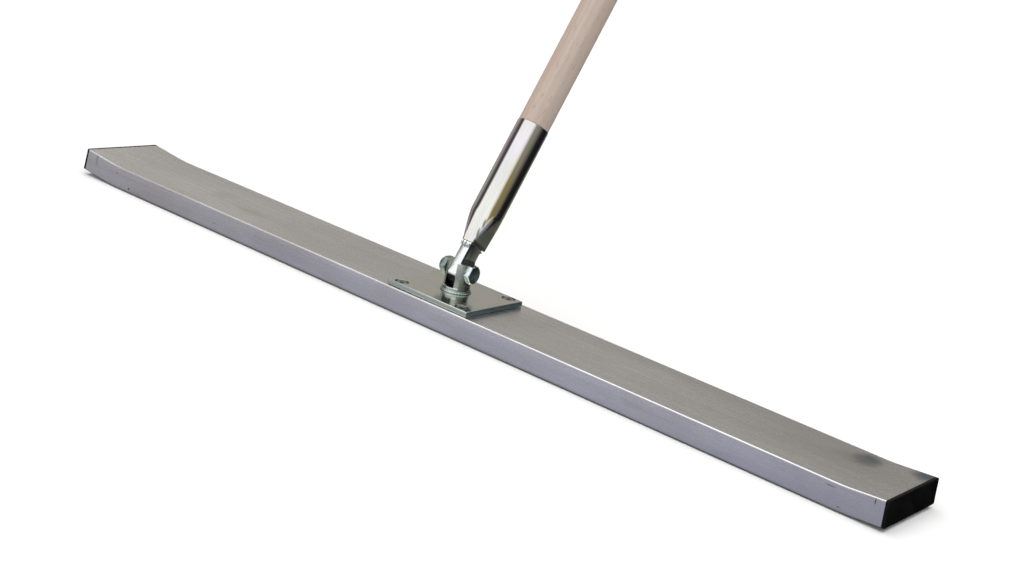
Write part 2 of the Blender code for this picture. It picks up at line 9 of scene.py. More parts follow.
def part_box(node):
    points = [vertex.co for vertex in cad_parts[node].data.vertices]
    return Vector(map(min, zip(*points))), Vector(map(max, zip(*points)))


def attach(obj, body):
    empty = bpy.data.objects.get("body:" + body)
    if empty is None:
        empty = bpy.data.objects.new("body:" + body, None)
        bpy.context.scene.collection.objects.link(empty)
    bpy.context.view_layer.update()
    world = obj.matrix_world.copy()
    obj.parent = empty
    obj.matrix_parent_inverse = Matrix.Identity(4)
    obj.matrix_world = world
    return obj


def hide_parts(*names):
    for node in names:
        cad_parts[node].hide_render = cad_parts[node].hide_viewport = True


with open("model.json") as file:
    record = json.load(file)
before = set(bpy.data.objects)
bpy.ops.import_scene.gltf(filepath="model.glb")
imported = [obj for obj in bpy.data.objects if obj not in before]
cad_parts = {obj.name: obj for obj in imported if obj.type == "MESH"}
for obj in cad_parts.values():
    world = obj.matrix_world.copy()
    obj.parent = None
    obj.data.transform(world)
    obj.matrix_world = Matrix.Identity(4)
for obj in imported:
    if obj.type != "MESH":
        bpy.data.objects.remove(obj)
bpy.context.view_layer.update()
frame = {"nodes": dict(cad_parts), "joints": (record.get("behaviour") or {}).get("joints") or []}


# -------------------- blade
# A hollow box section of extruded aluminium, open at both ends. Both ends are pressed
# up a little, so that they don't dig into wet concrete. The mill finish is left bare:
# it shows fine lines along its length, stains and a few nicks.

BLADE_LENGTH = 1.0  # along the sole, over both end caps
BLADE_SHIFT = Vector((0.0008, 0.0019, 0))  # the bracket is fixed a little off its middle
BLADE_WIDTH = 0.1
BLADE_HEIGHT = 0.024
BLADE_WALL = 0.002
BLADE_CORNER = 0.0012
BEND_RADIUS = 0.25
TIPS = {-1: (5.8, 0.038), 1: (4.3, 0.033)}  # by side: degrees turned up, straight length
CAP_FLANGE = 0.0028
GAP = 0.0003  # left between pieces that fit together
OVERCUT = 0.001  # how far a cutter starts outside what it cuts
CORNER_FACETS = 6


def arc(centre, radius, start, end, steps):
    """Points on a circle from one angle to another, in degrees."""
    turns = [radians(start + (end - start) * i / steps) for i in range(steps + 1)]
    return [(centre[0] + radius * cos(t), centre[1] + radius * sin(t)) for t in turns]


def rounded_outline(width, height, corner, steps):
    """A rectangle with round corners, anticlockwise from its right side."""
    across, up = width / 2 - corner, height / 2 - corner
    outline = []
    for quarter, (x, y) in enumerate(((across, up), (-across, up), (-across, -up), (across, -up))):
        outline += arc((x, y), corner, 90 * quarter, 90 * quarter + 90, steps)
    return outline


def at(x, y, z):
    """A move away from the origin, as a matrix."""
    return Matrix.Translation((x, y, z))


def solid(name, shape):
    """A mesh made from a bmesh, with all its faces turned outwards."""
    bmesh.ops.recalc_face_normals(shape, faces=shape.faces)
    mesh = bpy.data.meshes.new(name)
    shape.to_mesh(mesh)
    shape.free()
    return mesh


def skin(name, rows, looped=False):
    """A mesh over rows of points. Each row is a closed ring, or one point where it ends."""
    shape = bmesh.new()
    rings = [[shape.verts.new(point) for point in row] for row in rows]
    pairs = list(zip(rings, rings[1:])) + ([(rings[-1], rings[0])] if looped else [])
    for one, two in pairs:
        count = max(len(one), len(two))
        for i in range(count):
            j = (i + 1) % count
            corners = (one[i % len(one)], one[j % len(one)], two[j % len(two)], two[i % len(two)])
            shape.faces.new(list(dict.fromkeys(corners)))
    return solid(name, shape)


def turned(name, profile, steps, closed=False):
    """A profile of (radius, height) points turned about Z."""
    rows = []
    for radius, height in profile:
        count = steps if radius > 0 else 1
        turns = [2 * pi * i / count for i in range(count)]
        rows.append([(radius * cos(t), radius * sin(t), height) for t in turns])
    return skin(name, rows, looped=closed)


def new_piece(name, mesh, matrix=Matrix.Identity(4)):
    """Puts a mesh in the scene as a piece."""
    piece = bpy.data.objects.new(name, mesh)
    bpy.context.scene.collection.objects.link(piece)
    piece.matrix_world = matrix
    return piece


def settle(piece):
    """Makes a piece's modifiers part of its mesh."""
    depsgraph = bpy.context.evaluated_depsgraph_get()
    mesh = bpy.data.meshes.new_from_object(piece.evaluated_get(depsgraph))
    piece.modifiers.clear()
    piece.data = mesh


def cut(piece, tools, operation="DIFFERENCE"):
    """Cuts a piece with each (mesh, matrix) tool in turn."""
    for mesh, matrix in tools:
        tool = new_piece("tool", mesh, matrix)
        boolean = piece.modifiers.new("cut", "BOOLEAN")
        boolean.operation = operation
        boolean.solver = "EXACT"
        boolean.object = tool
        bpy.context.view_layer.update()
        settle(piece)
        bpy.data.objects.remove(tool)


def shade(piece, sharpest=35):
    """Smooth shading, broken where two faces meet at more than this many degrees."""
    mesh = piece.data
    mesh.polygons.foreach_set("use_smooth", [True] * len(mesh.polygons))
    mesh.set_sharp_from_angle(angle=radians(sharpest))


def mount(piece, body, slot, finish, *nodes):
    """Gives a piece its finish and body, and the CAD nodes that it stands for."""
    piece.data.materials.clear()
    piece.data.materials.append(finish)
    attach(piece, body)
    if nodes:
        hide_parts(*nodes)


def blade_station(side, turn, reach):
    """A point of the blade's middle line past a bend's start, and the line's slope there."""
    angle, straight = TIPS[side]
    half = BLADE_HEIGHT / 2
    full = radians(angle)
    start = BLADE_LENGTH / 2 - (BEND_RADIUS + half) * sin(full) - straight * cos(full)
    x = start + BEND_RADIUS * sin(turn) + reach * cos(turn)
    z = half + BEND_RADIUS * (1 - cos(turn)) + reach * sin(turn)
    return side * x, z, side * turn


BEND_STEPS = 12
blade_line = []
for side in (-1, 1):
    angle, straight = TIPS[side]
    bend = [blade_station(side, radians(angle) * i / BEND_STEPS, 0) for i in range(BEND_STEPS + 1)]
    bend.append(blade_station(side, radians(angle), straight - CAP_FLANGE - GAP))
    blade_line += bend if side > 0 else bend[::-1]


def blade_rows(inset, corner):
    """The section's outline at each station of the blade, that much inside its surface."""
    width, height = BLADE_WIDTH - 2 * inset, BLADE_HEIGHT - 2 * inset
    outline = rounded_outline(width, height, corner, CORNER_FACETS)
    return [
        [(x - up * sin(slope), across, z + up * cos(slope)) for across, up in outline]
        for x, z, slope in blade_line
    ]


blade = new_piece(
    "blade",
    skin(
        "blade",
        blade_rows(0, BLADE_CORNER) + blade_rows(BLADE_WALL, BLADE_CORNER / 2)[::-1],
        looped=True,
    ),
    Matrix.Translation(BLADE_SHIFT),
)

SCREW_SPACING = (0.076, 0.075)
INSERT_LIP_RADIUS = 0.00565
INSERT_HOLE_RADIUS = 0.0048
INSERT_CUT_DEPTH = 0.004
screw_places = [
    (x * SCREW_SPACING[0] / 2, y * SCREW_SPACING[1] / 2) for x, y in ((-1, -1), (1, -1), (1, 1), (-1, 1))
]
profile = [
    (0, OVERCUT),
    (INSERT_LIP_RADIUS, OVERCUT),
    (INSERT_LIP_RADIUS, 0),
    (INSERT_HOLE_RADIUS, -0.001),
    (INSERT_HOLE_RADIUS, -INSERT_CUT_DEPTH),
    (0, -INSERT_CUT_DEPTH),
]
insert_hole = turned("insert_hole", profile, steps=24)
cut(blade, [(insert_hole, at(x, y, BLADE_HEIGHT)) for x, y in screw_places])
shade(blade)


def add(tree, kind, inputs=None, **settings):
    """A shader node. Inputs are given by name or number, as a value or a socket to link."""
    made = tree.nodes.new("ShaderNode" + kind)
    for key, value in settings.items():
        setattr(made, key, value)
    for key, value in (inputs or {}).items():
        if isinstance(value, bpy.types.NodeSocket):
            tree.links.new(value, made.inputs[key])
        else:
            made.inputs[key].default_value = value
    return made


def sums(tree, operation, *terms):
    """One Math node's result."""
    return add(tree, "Math", dict(enumerate(terms)), operation=operation).outputs[0]


def spread(tree, value, low, high, to_low=0.0, to_high=1.0):
    """A value mapped smoothly from one range to another."""
    inputs = {"Value": value, "From Min": low, "From Max": high, "To Min": to_low, "To Max": to_high}
    return add(tree, "MapRange", inputs, interpolation_type="SMOOTHSTEP").outputs["Result"]


def tint(tree, amount, first, second, mode="MIX"):
    """Two colours mixed."""
    mixed = add(tree, "Mix", {0: amount, 6: first, 7: second}, data_type="RGBA", blend_type=mode)
    return mixed.outputs[2]


def ramp(tree, value, stops):
    """A value turned into a colour by (position, colour) stops."""
    made = add(tree, "ValToRGB", {"Fac": value})
    elements = made.color_ramp.elements
    for index, (position, colour) in enumerate(stops):
        element = elements[index] if index < 2 else elements.new(position)
        element.position, element.color = position, (*colour, 1)
    return made.outputs["Color"]


def grain(tree, place, scale, detail=3.0, roughness=0.6):
    """Noise over the surface, as one value."""
    inputs = {"Vector": place, "Scale": scale, "Detail": detail, "Roughness": roughness}
    return add(tree, "TexNoise", inputs).outputs["Fac"]


def stretch(tree, place, factors):
    """A position scaled differently along each axis."""
    return add(tree, "VectorMath", {0: place, 1: factors}, operation="MULTIPLY").outputs[0]


def axes(tree, place):
    """A position's parts along X, Y and Z."""
    return add(tree, "SeparateXYZ", {0: place}).outputs


def new_group(name, inputs, outputs):
    """An empty node group with the named sockets, its input node and its output node."""
    group = bpy.data.node_groups.new(name, "ShaderNodeTree")
    for direction, sockets in (("INPUT", inputs), ("OUTPUT", outputs)):
        for label, kind in sockets.items():
            group.interface.new_socket(label, in_out=direction, socket_type="NodeSocket" + kind)
    entry = group.nodes.new("NodeGroupInput").outputs
    result = group.nodes.new("NodeGroupOutput").inputs
    return group, entry, result


def use(tree, group, inputs):
    """A group placed in a material, with its own values."""
    return add(tree, "Group", inputs, node_tree=group).outputs


def new_finish(name, metallic):
    """A material, with its tree, its Principled shader and its object coordinates."""
    finish = bpy.data.materials.new(name)
    finish.use_nodes = True
    surface = finish.node_tree.nodes["Principled BSDF"].inputs
    surface["Metallic"].default_value = metallic
    place = finish.node_tree.nodes.new("ShaderNodeTexCoord").outputs["Object"]
    return finish, finish.node_tree, surface, place


def dress(tree, surface, colour, rough, height, distance, strength):
    """Feeds a colour, a roughness and a height into the surface."""
    bump = add(tree, "Bump", {"Height": height, "Distance": distance, "Strength": strength})
    looks = {"Base Color": colour, "Roughness": rough, "Normal": bump.outputs["Normal"]}
    for name, socket in looks.items():
        tree.links.new(socket, surface[name])


# The fine lines that rolling, drawing or brushing leaves. Scale sets how many there are
# on each axis, and Contrast how hard they look.
drawn_lines, entry, result = new_group(
    "drawn_lines",
    {"Vector": "Vector", "Scale": "Vector", "Contrast": "Float"},
    {"Lines": "Float"},
)
tree = drawn_lines
scaled = add(tree, "VectorMath", {0: entry["Vector"], 1: entry["Scale"]}, operation="MULTIPLY")
lines = grain(tree, scaled.outputs[0], 1.0, 4.0, 0.75)
lower = sums(tree, "MULTIPLY_ADD", entry["Contrast"], 0.4, 0.1)
upper = sums(tree, "SUBTRACT", 1.0, lower)
tree.links.new(spread(tree, lines, lower, upper), result["Lines"])

# Cloudy stains and rubbed patches from handling, wet concrete and oil.
handling_marks, entry, result = new_group(
    "handling_marks",
    {"Vector": "Vector", "Size": "Float"},
    {"Clouds": "Float", "Patches": "Float"},
)
tree = handling_marks
clouds = grain(tree, entry["Vector"], sums(tree, "DIVIDE", 1.0, entry["Size"]), 4.0, 0.6)
patches = grain(tree, entry["Vector"], sums(tree, "DIVIDE", 3.1, entry["Size"]), 5.0, 0.7)
tree.links.new(spread(tree, clouds, 0.32, 0.68), result["Clouds"])
tree.links.new(spread(tree, patches, 0.52, 0.72), result["Patches"])

# One soft-edged spot, such as a drop of oil or a nick: full inside, nothing past its edge.
spot_mark, entry, result = new_group(
    "spot_mark",
    {
        "Vector": "Vector",
        "Middle": "Vector",
        "Size": "Vector",
        "Softness": "Float",
        "Raggedness": "Float",
    },
    {"Mask": "Float"},
)
tree = spot_mark
offset = add(tree, "VectorMath", {0: entry["Vector"], 1: entry["Middle"]}, operation="SUBTRACT")
offset = add(tree, "VectorMath", {0: offset.outputs[0], 1: entry["Size"]}, operation="DIVIDE")
distance = add(tree, "VectorMath", {0: offset.outputs[0]}, operation="LENGTH").outputs["Value"]
ragged = sums(tree, "SUBTRACT", grain(tree, offset.outputs[0], 1.6, 3.0), 0.5)
distance = sums(tree, "ADD", distance, sums(tree, "MULTIPLY", ragged, entry["Raggedness"]))
inner = sums(tree, "SUBTRACT", 1.0, entry["Softness"])
mask = spread(tree, distance, inner, 1.0, 1.0, 0.0)
tree.links.new(mask, result["Mask"])


def spot(tree, place, middle, size, softness=0.5, raggedness=0.3):
    """The mask of one spot."""
    values = {"Middle": middle, "Size": size, "Softness": softness, "Raggedness": raggedness}
    return use(tree, spot_mark, {"Vector": place, **values})["Mask"]


def wash(tree, colour, mask, strength, hue):
    """A colour laid over what is there, where its mask says."""
    return tint(tree, sums(tree, "MULTIPLY", mask, strength), colour, (*hue, 1))


aluminium, tree, surface, place = new_finish("mill_aluminium", 1.0)
fine = use(tree, drawn_lines, {"Vector": place, "Scale": (5, 1500, 1500), "Contrast": 0.5})["Lines"]
broad = use(tree, drawn_lines, {"Vector": place, "Scale": (1.5, 130, 130), "Contrast": 0.7})["Lines"]
marks = use(tree, handling_marks, {"Vector": stretch(tree, place, (0.45, 1, 1)), "Size": 0.06})
colour = tint(tree, marks["Clouds"], (0.64, 0.61, 0.59, 1), (0.74, 0.73, 0.725, 1))
colour = wash(tree, colour, marks["Patches"], 0.5, (0.54, 0.49, 0.44))
colour = wash(tree, colour, broad, 0.25, (0.5, 0.5, 0.5))
colour = wash(tree, colour, fine, 0.22, (0.86, 0.87, 0.89))
STAINS = (  # middle, size, softness, colour, strength
    ((0.43, 0.004, 0.024), (0.13, 0.07, 0.02), 1.0, (0.5, 0.44, 0.42), 0.45),
    ((0.44, 0.029, 0.024), (0.018, 0.023, 0.01), 0.85, (0.05, 0.1, 0.16), 0.95),
    ((0.434, 0.024, 0.024), (0.03, 0.02, 0.01), 0.8, (0.42, 0.44, 0.36), 0.5),
    ((0.492, 0.044, 0.027), (0.02, 0.022, 0.01), 0.7, (0.06, 0.13, 0.18), 0.9),
    ((-0.33, -0.001, 0.024), (0.016, 0.022, 0.01), 0.7, (0.52, 0.5, 0.47), 0.35),
    ((-0.273, -0.015, 0.024), (0.03, 0.012, 0.01), 0.8, (0.5, 0.48, 0.45), 0.35),
    ((-0.4456, -0.05, 0.0165), (0.001, 0.002, 0.0009), 0.3, (0.03, 0.03, 0.03), 0.9),
    ((-0.4239, -0.05, 0.0048), (0.0013, 0.002, 0.0016), 0.5, (0.03, 0.04, 0.05), 0.95),
    ((-0.48, -0.05, 0.022), (0.003, 0.002, 0.012), 0.9, (0.36, 0.35, 0.46), 0.6),
    ((-0.2894, -0.05, 0.0092), (0.001, 0.002, 0.0007), 0.3, (0.06, 0.06, 0.06), 0.8),
    ((0.4572, -0.05, 0.0048), (0.0012, 0.002, 0.0007), 0.3, (0.06, 0.06, 0.06), 0.8),
    ((0.446, -0.05, 0.0194), (0.006, 0.002, 0.0006), 0.5, (0.1, 0.1, 0.1), 0.7),
    ((0.4867, -0.05, 0.0225), (0.0005, 0.003, 0.0032), 0.3, (0.03, 0.03, 0.03), 0.95),
)
for middle, size, softness, stain, strength in STAINS:
    colour = wash(tree, colour, spot(tree, place, middle, size, softness), strength, stain)
rough = sums(tree, "MULTIPLY_ADD", fine, 0.08, 0.22)
rough = sums(tree, "MULTIPLY_ADD", marks["Patches"], 0.06, rough)
height = sums(tree, "MULTIPLY_ADD", broad, 0.6, fine)
dress(tree, surface, colour, rough, height, 0.00006, 0.5)
mount(blade, "float", "mill_aluminium", aluminium, "float_profile")


# -------------------- end caps
# A moulded black plastic cap at each end: a flange as big as the section's outside, and
# a hollow plug with thin walls that grips inside it. Its face has a fine moulded grain.

CAP_PLUG_LENGTH = 0.015
CAP_PLUG_WALL = 0.0016
CAP_EDGE = 0.0004
PLUG_CORNER = 0.0005
PLUG_INNER_CORNER = 0.0003

plastic, tree, surface, place = new_finish("black_plastic", 0.0)
marks = use(tree, handling_marks, {"Vector": place, "Size": 0.02})
colour = tint(tree, marks["Clouds"], (0.0015, 0.002, 0.0015, 1), (0.004, 0.005, 0.004, 1))
colour = wash(tree, colour, marks["Patches"], 0.5, (0.01, 0.01, 0.009))
surface["Specular IOR Level"].default_value = 0.12
rough = sums(tree, "MULTIPLY_ADD", marks["Clouds"], 0.12, 0.58)
dress(tree, surface, colour, rough, grain(tree, place, 900.0, 2.0), 0.00008, 0.4)

for side, cap_name in ((-1, "end_cap_left"), (1, "end_cap_right")):
    angle, straight = TIPS[side]
    x, z, slope = blade_station(side, radians(angle), straight)
    outer = rounded_outline(BLADE_WIDTH, BLADE_HEIGHT, BLADE_CORNER, CORNER_FACETS)
    width, height = (size - 2 * CAP_EDGE for size in (BLADE_WIDTH, BLADE_HEIGHT))
    edge = rounded_outline(width, height, BLADE_CORNER - CAP_EDGE, CORNER_FACETS)
    width, height = (size - 2 * BLADE_WALL - 2 * GAP for size in (BLADE_WIDTH, BLADE_HEIGHT))
    plug = rounded_outline(width, height, PLUG_CORNER, CORNER_FACETS)
    width, height = (size - 2 * CAP_PLUG_WALL for size in (width, height))
    inside = rounded_outline(width, height, PLUG_INNER_CORNER, CORNER_FACETS)
    layers = (
        ([(0, 0)], 0),
        (edge, 0),
        (outer, -CAP_EDGE),
        (outer, -CAP_FLANGE),
        (plug, -CAP_FLANGE),
        (plug, -CAP_FLANGE - CAP_PLUG_LENGTH),
        (inside, -CAP_FLANGE - CAP_PLUG_LENGTH),
        (inside, -CAP_FLANGE),
        ([(0, 0)], -CAP_FLANGE),
    )
    rows = [[(depth, across, up) for across, up in outline] for outline, depth in layers]
    facing = Matrix.Rotation(0 if side > 0 else pi, 4, "Z")
    place = Matrix.Translation(Vector((x, 0, z)) + BLADE_SHIFT)
    tilted = place @ Matrix.Rotation(-slope, 4, "Y") @ facing
    cap = new_piece(cap_name + "_visual", skin(cap_name, rows), tilted)
    shade(cap)
    mount(cap, "float", "black_plastic", plastic, cap_name)


# -------------------- bracket plate
# A flat piece of sawn steel bar with four countersunk holes. It is zinc plated after
# drilling, so it has a soft mirror finish that is a little cloudy, warm on the top.

PLATE_SIZE = (0.1, 0.09, 0.005)
PLATE_EDGE = 0.0005
SINK_RADIUS = 0.0068
SHANK_HOLE_RADIUS = 0.003
SINK_DEPTH = 0.0038
SINK_RIM = 0.0003
PLATE_CUT_DEPTH = 0.007
# how far the painted shade in each countersunk hole reaches
HOLE_SHADE_SIZE = (0.0073, 0.0073, 0.02)
plate_low, plate_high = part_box("bracket_plate")
plate_top = plate_high.z


def soften(piece, width, segments):
    """Rounds a piece's hard edges."""
    bevel = piece.modifiers.new("edges", "BEVEL")
    bevel.width = width
    bevel.segments = segments
    bevel.limit_method = "ANGLE"
    bevel.angle_limit = radians(30)
    bevel.use_clamp_overlap = True
    settle(piece)


def slab(name, lower, upper):
    """A solid between two rings with as many points each."""
    shape = bmesh.new()
    lower, upper = ([shape.verts.new(point) for point in ring] for ring in (lower, upper))
    for i in range(len(lower)):
        j = (i + 1) % len(lower)
        shape.faces.new((lower[i], lower[j], upper[j], upper[i]))
    shape.faces.new(lower)
    shape.faces.new(upper)
    return solid(name, shape)


def block(name, size, middle=(0, 0, 0)):
    """A box as a mesh."""
    (x, y, z), (across, deep, tall) = middle, (side / 2 for side in size)
    ring = [(x + across * i, y + deep * j) for i, j in ((1, 1), (-1, 1), (-1, -1), (1, -1))]
    return slab(name, [(*point, z - tall) for point in ring], [(*point, z + tall) for point in ring])


plate_bar = block("bracket_plate", PLATE_SIZE, (plate_low + plate_high) / 2)
plate = new_piece("bracket_plate_visual", plate_bar)
soften(plate, PLATE_EDGE, 3)
profile = [
    (0, OVERCUT),
    (SINK_RADIUS + SINK_RIM, OVERCUT),
    (SINK_RADIUS + SINK_RIM, 0.0),
    (SINK_RADIUS, -SINK_RIM),
    (SHANK_HOLE_RADIUS, -SINK_DEPTH),
    (SHANK_HOLE_RADIUS, -PLATE_CUT_DEPTH),
    (0, -PLATE_CUT_DEPTH),
]
countersink = turned("countersink", profile, steps=48)
cut(plate, [(countersink, at(x, y, plate_top)) for x, y in screw_places])
shade(plate)

# Zinc plating: cloudy, with a warm and a cool tint that drift into each other, and a
# surface that follows the steel under it.
zinc_plating, entry, result = new_group(
    "zinc_plating",
    {
        "Vector": "Vector",
        "Cloud Size": "Float",
        "Warm": "Color",
        "Cool": "Color",
        "Dull": "Color",
        "Roughness": "Float",
        "Roughness Spread": "Float",
    },
    {"Color": "Color", "Roughness": "Float", "Height": "Float"},
)
tree = zinc_plating
size = sums(tree, "DIVIDE", 1.0, entry["Cloud Size"])
drift = spread(tree, grain(tree, entry["Vector"], size, 3.0), 0.35, 0.65)
mottle = grain(tree, entry["Vector"], sums(tree, "MULTIPLY", size, 6.0), 5.0, 0.7)
speck = grain(tree, entry["Vector"], sums(tree, "MULTIPLY", size, 40.0), 2.0)
colour = tint(tree, drift, entry["Warm"], entry["Cool"])
dull = sums(tree, "MULTIPLY", spread(tree, mottle, 0.5, 0.75), 0.6)
colour = tint(tree, dull, colour, entry["Dull"])
wander = sums(tree, "SUBTRACT", mottle, 0.5)
rough = sums(tree, "MULTIPLY", wander, entry["Roughness Spread"])
rough = sums(tree, "ADD", rough, entry["Roughness"])
tree.links.new(colour, result["Color"])
tree.links.new(rough, result["Roughness"])
tree.links.new(sums(tree, "MULTIPLY_ADD", speck, 0.5, mottle), result["Height"])


def plated(name, cloud, warm, cool, dull, roughness, variation, relief, painted_light_and_edges=()):
    """A zinc-plated finish. Painted light and edges are (mask maker, colour, roughness): painted shade,
    painted highlights and cut edges.
    """
    finish, tree, surface, place = new_finish(name, 1.0)
    values = {"Warm": (*warm, 1), "Cool": (*cool, 1), "Dull": (*dull, 1), "Cloud Size": cloud}
    values.update({"Roughness": roughness, "Roughness Spread": variation})
    zinc = use(tree, zinc_plating, {"Vector": place, **values})
    colour, rough = zinc["Color"], zinc["Roughness"]
    # each mark lays painted shade, a painted highlight or a cut edge's colour over the zinc
    for mask_of, mark_colour, mark_roughness in painted_light_and_edges:
        mask = mask_of(tree, place)
        colour = tint(tree, mask, colour, (*mark_colour, 1))
        rough = sums(tree, "MULTIPLY_ADD", mask, mark_roughness, rough)
    dress(tree, surface, colour, rough, zinc["Height"], relief, 0.5)
    return finish


def plate_edges(axis):
    """A mask maker for two of the plate's edges: sawn ones on axis 0, rolled ones on axis 1."""
    half = PLATE_SIZE[axis] / 2

    def mask_of(tree, place):
        reach = sums(tree, "ABSOLUTE", axes(tree, place)[axis])
        return spread(tree, reach, half - 0.0004, half - 0.0001)

    return mask_of


def painted_shade_in_holes(tree, place):
    """Full inside the four countersunk holes, where painted shade darkens them."""
    total = None
    for x, y in screw_places:
        mask = spot(tree, place, (x, y, plate_top), HOLE_SHADE_SIZE, softness=0.08, raggedness=0.04)
        total = mask if total is None else sums(tree, "MAXIMUM", total, mask)
    return total


plate_zinc = plated(
    "zinc_plate",
    cloud=0.03, roughness=0.19, variation=0.12, relief=0.00004,
    warm=(0.72, 0.69, 0.63), cool=(0.66, 0.68, 0.64), dull=(0.55, 0.56, 0.53),
    painted_light_and_edges=[
        # painted shade: the countersunk holes are painted near black
        (painted_shade_in_holes, (0.06, 0.065, 0.06), 0.15),
        (plate_edges(0), (0.34, 0.44, 0.5), 0.15),
        (plate_edges(1), (0.57, 0.63, 0.55), 0.05),
    ],
)
mount(plate, "float", "zinc_plate", plate_zinc, "bracket_plate")


# -------------------- plate screws
# Four countersunk M6 machine screws with a hexagon socket, plated like the plate. Their
# heads sit a little below its top.

SCREW_HEAD_RADIUS = 0.0058
SCREW_HEAD_DEPTH = 0.0031
SCREW_RADIUS = 0.0027
SCREW_LENGTH = 0.016
SOCKET_KEY_RADIUS = 0.0023
SOCKET_KEY_DEPTH = 0.0018
SCREW_RIM = 0.0002
SCREW_POINT = 0.001
SCREW_SUNK = 0.0007
KEY_BOTTOM_RADIUS = 0.0019
CUTTER = 0.05  # longer than anything that it cuts through


def prism(name, radius, height, sides, turn=0.0):
    """A straight prism standing on Z = 0."""
    turns = [turn + 2 * pi * i / sides for i in range(sides)]
    ring = [(radius * cos(t), radius * sin(t)) for t in turns]
    return slab(name, [(x, y, 0) for x, y in ring], [(x, y, height) for x, y in ring])


profile = [
    (0, 0),
    (SCREW_HEAD_RADIUS - SCREW_RIM, 0),
    (SCREW_HEAD_RADIUS, -SCREW_RIM),
    (SCREW_RADIUS, -SCREW_HEAD_DEPTH),
    (SCREW_RADIUS, -SCREW_LENGTH),
    (SCREW_RADIUS * 0.7, -SCREW_LENGTH - SCREW_POINT),
    (0, -SCREW_LENGTH - SCREW_POINT),
]
screw_mesh = turned("plate_screw", profile, steps=40)
key = prism("socket_key", SOCKET_KEY_RADIUS, CUTTER, sides=6)
key_bottom = turned("key_bottom", [(0, 0.0002), (KEY_BOTTOM_RADIUS, 0.0002), (0, -0.0006)], steps=24)
screw_zinc = plated(
    "zinc_screw",
    cloud=0.004, roughness=0.28, variation=0.15, relief=0.00004,
    warm=(0.36, 0.37, 0.34), cool=(0.3, 0.32, 0.31), dull=(0.12, 0.12, 0.11),
)
head_top = plate_top - SCREW_SUNK
for number, (x, y) in enumerate(screw_places, start=1):
    screw = new_piece(f"plate_screw_{number}_visual", screw_mesh.copy(), at(x, y, head_top))
    turn = Matrix.Rotation(radians(17 * number), 4, "Z")
    bottom = at(x, y, head_top - SOCKET_KEY_DEPTH) @ turn
    cut(screw, [(key, bottom), (key_bottom, bottom)])
    shade(screw, 30)
    mount(screw, "float", "zinc_fastener", screw_zinc, f"plate_screw_{number}")


# -------------------- rivet nuts
# Threaded steel inserts pulled tight in the blade's top wall. The plate hides them, and
# only someone who looks in from the end of the blade sees them.

insert_zinc = plated(
    "zinc_insert",
    cloud=0.006, roughness=0.28, variation=0.15, relief=0.00005,
    warm=(0.66, 0.66, 0.62), cool=(0.56, 0.6, 0.6), dull=(0.36, 0.36, 0.34),
)
for number in range(1, 5):
    for material_slot in frame["nodes"][f"rivet_nut_{number}"].material_slots:
        material_slot.material = insert_zinc


# -------------------- fork
# A short steel bar standing on the plate. It is slotted from the top for the tongue and
# drilled across for the bolt, with flats milled under the bolt's head and the nut.

FORK_RADIUS = 0.0135
FORK_SLOT = 0.0104
FORK_FLOOR = 0.005
FORK_FLAT = 0.012
FORK_EDGE = 0.0006
PIVOT_HEIGHT = 0.021
BOLT_HOLE_RADIUS = 0.0053
fork_low, fork_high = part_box("fork")
fork_height = fork_high.z - fork_low.z
pivot = Vector(frame["joints"][0]["pos_m"])

fork_bar = prism("fork", FORK_RADIUS, fork_height, sides=96)
fork = new_piece("fork_visual", fork_bar, at(0, 0, fork_low.z))
slot_low = plate_top + FORK_FLOOR
floor_height = slot_low - fork_low.z
flat_low = plate_top + PIVOT_HEIGHT / 2
unmoved = Matrix.Identity(4)
slot_middle = (0, 0, slot_low + CUTTER / 2)
fork_cuts = [(block("slot", (FORK_SLOT, CUTTER, CUTTER), slot_middle), unmoved)]
for side in (-1, 1):
    middle = (side * (FORK_FLAT + FORK_RADIUS / 2), 0, flat_low + CUTTER / 2)
    fork_cuts.append((block("flat", (FORK_RADIUS, CUTTER, CUTTER), middle), unmoved))
along_x = Matrix.Rotation(pi / 2, 4, "Y")
drill = prism("drill", BOLT_HOLE_RADIUS, CUTTER, sides=40)
fork_cuts.append((drill, at(-CUTTER / 2, 0, pivot.z) @ along_x))
cut(fork, fork_cuts)
soften(fork, FORK_EDGE, 3)
shade(fork)


def painted_shade_in_slot(tree, place):
    """Full on the slot's walls below the tongue, where painted shade darkens the slot."""
    x, _, z = axes(tree, place)
    off_middle = sums(tree, "ABSOLUTE", x)
    wall = spread(tree, off_middle, FORK_SLOT / 2 + 0.0001, FORK_SLOT / 2 + 0.0006, 1.0, 0.0)
    above_floor = spread(tree, z, floor_height + 0.0003, floor_height + 0.0012)
    tongue_end = pivot.z - fork_low.z - 0.005
    below_tongue = spread(tree, z, tongue_end - 0.001, tongue_end + 0.001, 1.0, 0.0)
    return sums(tree, "MULTIPLY", sums(tree, "MULTIPLY", wall, above_floor), below_tongue)


def painted_highlight_on_slot_lip(tree, place):
    """Full on the lip that the slot's floor makes at the front and back, which gets a painted highlight.
    """
    _, y, z = axes(tree, place)
    # a painted highlight along the slot floor's front and back lip
    off_floor = sums(tree, "ABSOLUTE", sums(tree, "SUBTRACT", z, floor_height))
    lip = spread(tree, off_floor, 0.0004, 0.0009, 1, 0)
    return sums(tree, "MULTIPLY", lip, spread(tree, sums(tree, "ABSOLUTE", y), 0.0095, 0.0105))


fork_zinc = plated(
    "zinc_fork",
    cloud=0.012, roughness=0.24, variation=0.14, relief=0.00005,
    warm=(0.45, 0.48, 0.42), cool=(0.37, 0.42, 0.37), dull=(0.26, 0.29, 0.26),
    # painted shade darkens the slot's walls; a painted highlight brightens the slot floor's lip
    painted_light_and_edges=[(painted_shade_in_slot, (0.02, 0.022, 0.02), 0.3), (painted_highlight_on_slot_lip, (0.96, 0.98, 0.98), 0.05)],
)
mount(fork, "float", "zinc_fork", fork_zinc, "fork")


# -------------------- weld round the fork
# The bead that joins the fork's foot to the plate: one run of small overlapping ripples,
# plated over.

